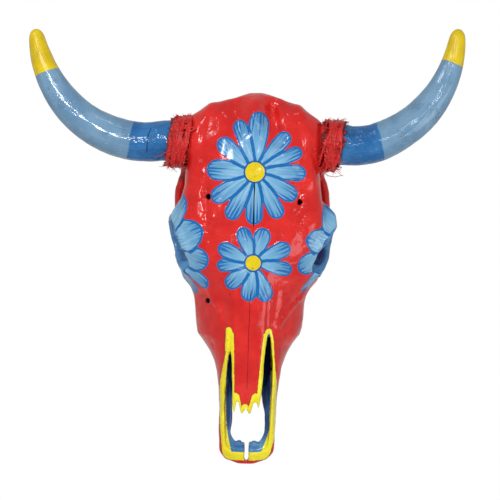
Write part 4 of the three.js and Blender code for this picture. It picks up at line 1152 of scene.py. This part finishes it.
# Long loose fibres seen on each wrap: places out from the middle of the head, angle round the horn, lift
LONG_FIBRES = {
    "left": (((30, 1.7, 33), (40, 1.95, 36), (52, 2.15, 36), (60, 2.3, 33.5)),),
    "right": (
        ((33, 0.5, 33), (44, 0.75, 37), (52, 1.0, 36), (57, 1.15, 34)),
        ((26, 0.35, 33), (34, 0.3, 40), (44, 0.35, 42), (53, 0.45, 41)),
        ((24, 0.3, 32), (25, 0.15, 38), (24, 0.1, 44)),
    ),
}


def wind(line, sign, reach, turn, lift, radius):
    """Adds a strand to a curve, by its reach from the midline, angle round the horn, lift from its line and radius."""
    up = -sign * np.cos(turn)
    reach = reach - ROPE_SLIP[sign] - ROPE_LEAN[sign] * up
    lift = lift + ROPE_RIDE * ease(up, 0.2, 1) * ease(reach, ROOT + 28, ROOT + 10)
    points = np.stack([
        sign * reach,
        HORN_ROOT[1] + lift * np.sin(turn),
        HORN_ROOT[2] - ROPE_SAG - sign * lift * np.cos(turn),
    ], axis=1)
    strand = line.splines.new("POLY")
    strand.points.add(len(points) - 1)
    flat = np.ones((len(points), 4), np.float32)
    flat[:, :3] = (points - NAIL) / 1000
    strand.points.foreach_set("co", flat.ravel())
    strand.points.foreach_set("radius", (np.broadcast_to(radius, len(points)) / 1000).astype(np.float32))


def rope_strands(line, sign):
    length = ROPE_TURNS * TURN * (HORN_RADIUS + ROPE_DIAMETER / 2)
    share = np.linspace(0, 1, ROPE_POINTS)
    turn = share * ROPE_TURNS * TURN * sign
    reach = ROOT + ROPE_START + share * ROPE_TURNS * ROPE_PITCH
    lay = ROPE_DIAMETER / 2 - STRAND_RADIUS
    for k in range(STRANDS):
        twist = share * length / STRAND_LAY * TURN + k * TURN / STRANDS
        lift = HORN_RADIUS + ROPE_SEAT + ROPE_DIAMETER / 2 + lay * np.cos(twist)
        wind(line, sign, reach + lay * np.sin(twist), turn, lift, STRAND_RADIUS)


def crown_of(reach):
    """Height of the wrap's back over the horn, falling off at its two edges."""
    edge = np.minimum(reach - ROOT - WRAP_EDGES[0], ROOT + WRAP_EDGES[1] - reach)
    return HORN_RADIUS + ROPE_SEAT + (ROPE_DIAMETER - 0.8) * np.sqrt(np.clip(edge / 5, 0.05, 1))


def loose_yarn(line, sign, rng):
    """Yarn wound loosely over the rope, now in a hollow between two turns and now across them."""
    for _ in range(YARNS):
        turns = rng.uniform(0.2, 0.9)
        share = np.linspace(0, 1, int(26 * turns) + 8)
        turn = (rng.uniform(0, 1) + share * turns) * TURN * sign
        reach = ROOT + rng.uniform(21, 44) + rng.uniform(-17, 17) * (share - 0.5)
        reach = reach + 1.8 * np.sin(share * rng.uniform(5, 14) + rng.uniform(0, 6))
        reach = np.clip(reach, ROOT + rng.uniform(15.5, 22), ROOT + rng.uniform(42, 48.5))
        lift = crown_of(reach) + rng.uniform(-0.9, 1.1)
        lift = lift + 0.9 * np.sin(share * rng.uniform(8, 20) + rng.uniform(0, 6))
        wind(line, sign, reach, turn, lift, rng.uniform(0.9, 1.5) * (1 - 0.5 * ease(share, 0.85, 1)))


def shreds(line, sign, rng):
    """Short ends of yarn that lie across the turns and stand a little off them."""
    for _ in range(SHREDS):
        share = np.linspace(0, 1, 7)
        size = rng.uniform(5, 13)
        way = rng.uniform(-1.6, 1.6)
        turn = rng.uniform(0, TURN) + sign * size * math.cos(way) / WRAP_RADIUS * share
        reach = ROOT + rng.uniform(21, 44.5) + size * math.sin(way) * (share - 0.5)
        reach = np.clip(reach, ROOT + 19, ROOT + 46)
        lift = crown_of(reach) + 0.4 + rng.uniform(0.3, 3.6) * (share - rng.uniform(0, 0.5)) ** 2 * 2
        wind(line, sign, reach, turn, lift, rng.uniform(0.7, 1.4) * (1 - 0.45 * share))


def edge_loops(line, sign, rng):
    """Slack bights of yarn that hang over the two edges of the wrap."""
    for _ in range(LOOPS):
        share = np.linspace(0, 1, 12)
        edge, out = (44, 1) if rng.random() < 0.6 else (20.5, -1)
        size = rng.uniform(3, 9)
        reach = ROOT + edge + out * (size * np.sin(math.pi * share) - 2.5)
        turn = rng.uniform(0, TURN) + sign * rng.uniform(0.15, 0.5) * share
        lift = crown_of(np.clip(reach, ROOT + 21, ROOT + 43.5)) - rng.uniform(0, 3)
        lift = lift + rng.uniform(-1, 3) * np.sin(math.pi * share)
        wind(line, sign, reach, turn, lift, rng.uniform(0.7, 1.2))


def frayed_hairs(line, side, rng):
    """Fibres that stand out from the wrap, most at its edges and ends."""
    sign = SIDE[side]
    for _ in range(HAIRS):
        turn = rng.uniform(0, TURN)
        reach = ROOT + rng.choice([rng.uniform(19.5, 25), rng.uniform(39, 45), rng.uniform(21, 44)])
        size = rng.gamma(2.4, 1.7) + 2.0
        share = np.linspace(0, 1, 7)
        lean, curl = rng.uniform(-1.1, 1.1), rng.uniform(-1.0, 1.0)
        lift = crown_of(np.full(7, reach)) + 0.3 + size * (0.8 * share - 0.2 * share ** 2)
        across = reach + size * lean * share + size * 0.5 * curl * share ** 2
        swing = turn + sign * size / WRAP_RADIUS * (0.8 * share + curl * share ** 2)
        wind(line, sign, across, swing, lift, rng.uniform(0.26, 0.48) * (1 - 0.5 * share))
    for _ in range(FRINGE):
        share = np.linspace(0, 1, 5)
        outer = rng.random() < 0.65
        reach = ROOT + (rng.uniform(42, 45) if outer else rng.uniform(20, 23))
        size = rng.uniform(1.0, 6.0) * (1 if outer else -0.8)
        turn = rng.uniform(0, TURN) + rng.uniform(-0.09, 0.09) * share
        lift = crown_of(np.full(5, reach)) - rng.uniform(0.4, 2.2) + rng.uniform(-0.5, 2.0) * share
        wind(line, sign, reach + size * share, turn, lift, rng.uniform(0.4, 0.75) * (1 - 0.6 * share))
    for fibre in LONG_FIBRES[side]:
        reach, turn, lift = np.array(fibre, float).T
        share = np.linspace(0, len(fibre) - 1, 16)
        reach, turn, lift = [np.interp(share, range(len(fibre)), row) for row in (reach, turn, lift)]
        wind(line, sign, ROOT + reach, sign * turn, lift, np.linspace(0.6, 0.35, 16))


def wound_line(name):
    line = bpy.data.curves.new(name, "CURVE")
    line.dimensions = "3D"
    line.bevel_depth, line.bevel_resolution = 1.0, 1
    line.use_fill_caps = True
    return line


def wound_mesh(line):
    """Turns a curve of strands into a mesh."""
    wound = bpy.data.objects.new(line.name, line)
    bpy.context.scene.collection.objects.link(wound)
    bpy.ops.object.select_all(action="DESELECT")
    wound.select_set(True)
    bpy.context.view_layer.objects.active = wound
    bpy.ops.object.convert(target="MESH")
    return bpy.context.object


def rope_wrap(side):
    sign = SIDE[side]
    rng = np.random.default_rng(SEED + 40 + sign)
    body = wound_line("rope_" + side)
    rope_strands(body, sign)
    loose_yarn(body, sign, rng)
    shreds(body, sign, rng)
    edge_loops(body, sign, rng)
    body = wound_mesh(body)
    clogged = body.modifiers.new("clogged", "REMESH")
    clogged.mode, clogged.voxel_size, clogged.use_smooth_shade = "VOXEL", CLOG, True
    bpy.ops.object.modifier_apply(modifier=clogged.name)
    soaked = body.modifiers.new("soaked", "SMOOTH")
    soaked.factor, soaked.iterations = 0.5, 2
    bpy.ops.object.modifier_apply(modifier=soaked.name)
    fray = wound_line("fray_" + side)
    frayed_hairs(fray, side, rng)
    fray = wound_mesh(fray)
    body.select_set(True)
    bpy.context.view_layer.objects.active = body
    bpy.ops.object.join()
    bpy.ops.object.shade_smooth()
    points = points_of(body) * 1000 + NAIL
    off = points - np.array(HORN_ROOT) * (0, 1, 1)
    lift = np.hypot(off[:, 1], off[:, 2])
    turn = np.arctan2(off[:, 1], off[:, 2])
    tag(body, "wound", np.stack([lift - HORN_RADIUS, turn * 30, np.abs(points[:, 0])], axis=1))
    return body


def rope_paint():
    """Red paint soaked into fibrous rope: bright on the outside, with paler fibre, and painted shade in the crevices
    between fibres and in the hollows of the wrap.
    """
    paint = Shader("rope_paint", Roughness=0.34, IOR=1.46)
    place = paint.place()
    lift, turn, reach = paint.parts(paint.tag("wound"))
    fibre = paint.noise(paint.whole(lift * 0.9, turn * 0.12, reach * 0.9), 1.6, 3, 0.6)
    patch = paint.noise(place, 90, 3)
    red = paint.mix(patch.rise(0.35, 0.65), (188, 20, 19), (216, 36, 32))
    red = paint.mix(fibre.rise(0.58, 0.76) * 0.14, red, (232, 96, 86))
    # Painted shade in the crevices between the fibres, where the fibre bump is low
    red = paint.mix(fibre.rise(0.46, 0.3) * 0.45, red, (120, 9, 12))
    # Painted shade in the hollows of the wrap, close to the horn
    red = paint.mix(lift.rise(5.4, 3.2), red, (84, 6, 10))
    paint.put("Base Color", red)
    paint.bump(fibre, 0.0005, 0.8)
    return paint.material


ROPE_PAINT = rope_paint()
for side in SIDE:
    wrap = rope_wrap(side)
    wrap.data.materials.append(ROPE_PAINT)
    keep(wrap, "rope_wrap_" + side)


# Teeth: each is drawn down from its root to its worn face, inside the box of its CAD node
TOOTH_SIDES = 28
TOOTH_ROWS = ("premolar_1", "premolar_2", "premolar_3", "molar_1", "molar_2", "molar_3")
# Rings of a tooth: share of its length from the root, and growth in width since the ring before
TOOTH_STEPS = ((0.04, 1.05), (0.3, 1.1), (0.55, 1.05), (0.7, 1.02), (0.88, 1.0), (0.965, 0.99), (0.985, 0.97))
ENAMEL = 0.1


def tooth_outline(turn, lobes, outer):
    """Shares of half the length and half the width: ribs on the outer side, lobes on the inner side."""
    run, wide = math.sin(turn), math.cos(turn)
    run = math.copysign(abs(run) ** 0.72, run)
    wide = math.copysign(abs(wide) ** 0.62, wide)
    waist = 1 - (0.17 if lobes == 2 else 0.04) * math.exp(-(run / 0.2) ** 2)
    if wide * outer > 0:
        waist += 0.05 * math.cos(run * math.pi * (2 if lobes == 2 else 1.5)) - 0.05
    return run * 0.97, wide * waist * 0.97


def cheek_tooth(name, side):
    node = name + "_" + side
    low, high = [np.array(corner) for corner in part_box(node)]
    middle, half = (low + high) / 2, (high - low) / 2
    lobes = 2 if name.startswith("molar") else 1
    piece = begin(
        bpy.ops.mesh.primitive_circle_add, vertices=TOOTH_SIDES, radius=1,
        location=(middle[0], low[1], middle[2]), rotation=(math.pi / 2, 0, 0),
    )
    bpy.ops.object.mode_set(mode="OBJECT")
    ring = points_of(piece)
    for point in ring:
        turn = math.atan2(point[2] - middle[2], point[0] - middle[0])
        run, wide = tooth_outline(turn, lobes, SIDE[side])
        point[:] = middle[0] + wide * half[0], low[1], middle[2] + run * half[2]
    set_points(piece, ring)
    bpy.ops.object.mode_set(mode="EDIT")
    bpy.ops.mesh.select_all(action="SELECT")
    bpy.ops.transform.resize(value=(0.8, 1, 0.86), center_override=(middle[0], low[1], middle[2]))
    bpy.ops.mesh.edge_face_add()
    drop = 2 * half[1]
    done = 0.0
    for share, grow in TOOTH_STEPS:
        extrude((0, (share - done) * drop, 0))
        centre = (middle[0], low[1] + share * drop, middle[2])
        bpy.ops.transform.resize(value=(grow, 1, 1 + (grow - 1) * 0.75), center_override=centre)
        done = share
    bpy.ops.mesh.inset(thickness=ENAMEL * half[0], depth=0)
    bpy.ops.mesh.inset(thickness=0.5 * ENAMEL * half[0], depth=-0.0006)
    bpy.ops.mesh.inset(thickness=2.2 * ENAMEL * half[0], depth=-0.0005)
    bpy.ops.mesh.poke()
    finished(piece, node, 2)
    points = points_of(piece)
    bounds = points.min(0), points.max(0)
    grow = (2 * half - 0.00012) / (bounds[1] - bounds[0])
    points = middle + (points - (bounds[0] + bounds[1]) / 2) * np.minimum(grow, (1.06, 1, 1.06))
    set_points(piece, points)
    local = (points - middle) / half
    tag(piece, "crown", np.stack([local[:, 0] * SIDE[side], local[:, 2], (points[:, 1] - high[1]) * 1000], axis=1))
    tag(piece, "lobes", np.full(len(points), float(lobes)))
    return piece


def tooth_enamel():
    """Old ivory enamel, stained towards the gum, with folds of enamel in the brown dentine of the worn face."""
    tooth = Shader("tooth_enamel", IOR=1.6)
    place = tooth.place()
    across, run, down = tooth.parts(tooth.tag("crown"))
    lobes = tooth.tag("lobes", out="Fac")
    patch = tooth.noise(place, 120, 4, 0.6)
    streak = tooth.noise(tooth.whole(across * 6, run * 6, down * 0.05), 1.2, 3)
    ivory = tooth.mix(patch.rise(0.3, 0.7), (214, 198, 160), (236, 226, 200))
    ivory = tooth.mix(streak.rise(0.48, 0.7) * 0.55, ivory, (150, 118, 74))
    ivory = tooth.mix(down.rise(-8, -24) * 0.6, ivory, (176, 146, 100))
    split = lobes.rise(1.2, 1.8)
    lobe = abs(run) * (1 + split) - split
    fold = lobe.maths("SQRT", lobe * lobe + across * across * 1.5)
    line = abs(fold - 0.34).rise(0.1, 0.05)
    pit = fold.rise(0.2, 0.1)
    worn = tooth.mix(patch.rise(0.35, 0.65), (120, 88, 52), (168, 134, 90))
    worn = tooth.mix(line, worn, (232, 220, 190))
    worn = tooth.mix(pit, worn, (48, 32, 20))
    face = down.rise(-1.9, -1.1) * (across * across + run * run * 0.9).rise(0.86, 0.72)
    tooth.put("Base Color", tooth.mix(face, ivory, worn))
    tooth.put("Roughness", 0.3 + 0.25 * patch)
    tooth.bump(streak * 0.5 + line * face * 0.5 - pit * face * 0.6, 0.0007, 0.7)
    return tooth.material


TOOTH_ENAMEL = tooth_enamel()
for side in SIDE:
    for name in TOOTH_ROWS:
        tooth = cheek_tooth(name, side)
        tooth.data.materials.append(TOOTH_ENAMEL)
        keep(tooth, name + "_" + side)


# Vomer: the thin plate that stands in the passage of the nose
def vomer_paint():
    """The blue of the nose, brushed on in uneven patches."""
    paint = Shader("vomer_paint", IOR=1.46)
    place = paint.place()
    patch = paint.noise(place, 45, 4, 0.6)
    fine = paint.noise(place, 300, 3)
    blue = paint.mix(patch.rise(0.35, 0.7), (32, 76, 134), (66, 122, 178))
    paint.put("Base Color", paint.mix(fine.rise(0.55, 0.7) * 0.4, blue, (24, 56, 104)))
    paint.put("Roughness", 0.3 + 0.2 * patch)
    paint.bump(fine * 0.4 + patch, 0.001, 0.6)
    return paint.material


bpy.ops.object.select_all(action="DESELECT")
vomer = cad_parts["vomer"].copy()
vomer.data = vomer.data.copy()
vomer.name = vomer.data.name = "vomer_plate"
bpy.context.scene.collection.objects.link(vomer)
bpy.context.view_layer.objects.active = vomer
vomer.select_set(True)
bpy.ops.object.mode_set(mode="EDIT")
bpy.ops.mesh.select_all(action="SELECT")
bpy.ops.mesh.remove_doubles(threshold=0.00001)
bpy.ops.mesh.dissolve_limited(angle_limit=math.radians(2))
bpy.ops.object.mode_set(mode="OBJECT")
soft = vomer.modifiers.new("soft", "BEVEL")
soft.width, soft.segments, soft.limit_method = 0.0009, 3, "ANGLE"
bpy.ops.object.modifier_apply(modifier=soft.name)
bpy.ops.object.shade_smooth_by_angle(angle=math.radians(40))
vomer.data.materials.clear()
vomer.data.materials.append(vomer_paint())
leaned = points_of(vomer)
lean_nose(leaned)
set_points(vomer, leaned)
keep(vomer, "vomer")

# Studio: a pale floor well below, and soft light
FLOOR_DROP = 0.78
FLOOR_RADIUS, FLOOR_FADE = 1.45, 0.35
LAMPS = (
    ("key", (-0.46, -2.0, 0.4), 0.18, 16),
    ("fill", (1.6, -1.3, -0.9), 1.3, 20),
    ("spot", (0.44, -2.0, 0.36), 0.08, 2.6),
    ("top", (0.1, -0.8, 1.5), 0.2, 1.0),
    ("side", (-1.1, -1.1, 1.0), 0.3, 6.5),
    ("back", (0.4, 1.6, 0.9), 1.2, 12),
)
WORLD_GREY = 0.27
GLOSS_SHARE = 0.4

floor = begin(
    bpy.ops.mesh.primitive_circle_add, vertices=96, radius=FLOOR_RADIUS, fill_type="NGON",
    location=(0, 0, -FLOOR_DROP),
)
bpy.ops.mesh.inset(thickness=FLOOR_RADIUS / 3)
finished(floor, "floor", 0)
pale = Shader("floor_paint", Roughness=0.75)
place = pale.place()
pale.put("Base Color", pale.mix(pale.noise(place, 3.0, 3), (238, 237, 235), (243, 242, 240)))
x, y, _ = pale.parts(place)
rim = (x * x + y * y).rise(FLOOR_FADE ** 2, FLOOR_RADIUS ** 2)
seen = pale.node("ShaderNodeLightPath", out="Is Camera Ray")
rim = rim * seen.most(pale.node("ShaderNodeLightPath", out="Is Glossy Ray"))
glow = pale.node("ShaderNodeEmission", {}, {"Color": (1, 1, 1, 1), "Strength": 1.0})
surface = Value(pale, pale.surface.outputs[0])
faded = pale.node("ShaderNodeMixShader", {}, {0: rim, 1: surface, 2: glow})
pale.link(pale.tree.nodes["Material Output"].inputs["Surface"], faded)
floor.data.materials.append(pale.material)

world = bpy.data.worlds.new("studio")
bpy.context.scene.world = world
world.use_nodes = True
sky = Nodes(world.node_tree)
seen, gloss, through = [
    sky.node("ShaderNodeLightPath", out="Is " + kind + " Ray") for kind in ("Camera", "Glossy", "Transmission")
]
bright = seen.most(gloss * GLOSS_SHARE).most(through)
strength = sky.node("ShaderNodeMapRange", {}, {"Value": bright, "To Min": WORLD_GREY, "To Max": 1.0})
backdrop = sky.tree.nodes["Background"]
sky.link(backdrop.inputs["Strength"], strength)
sky.link(backdrop.inputs["Color"], (1, 1, 1, 1))
for name, place, size, power in LAMPS:
    lamp = bpy.data.lights.new(name, "AREA")
    lamp.size, lamp.energy = size, power
    light = bpy.data.objects.new(name, lamp)
    light.location = place
    light.visible_glossy = name != "back"
    light.rotation_euler = (-Vector(place)).to_track_quat("-Z", "Y").to_euler()
    bpy.context.scene.collection.objects.link(light)
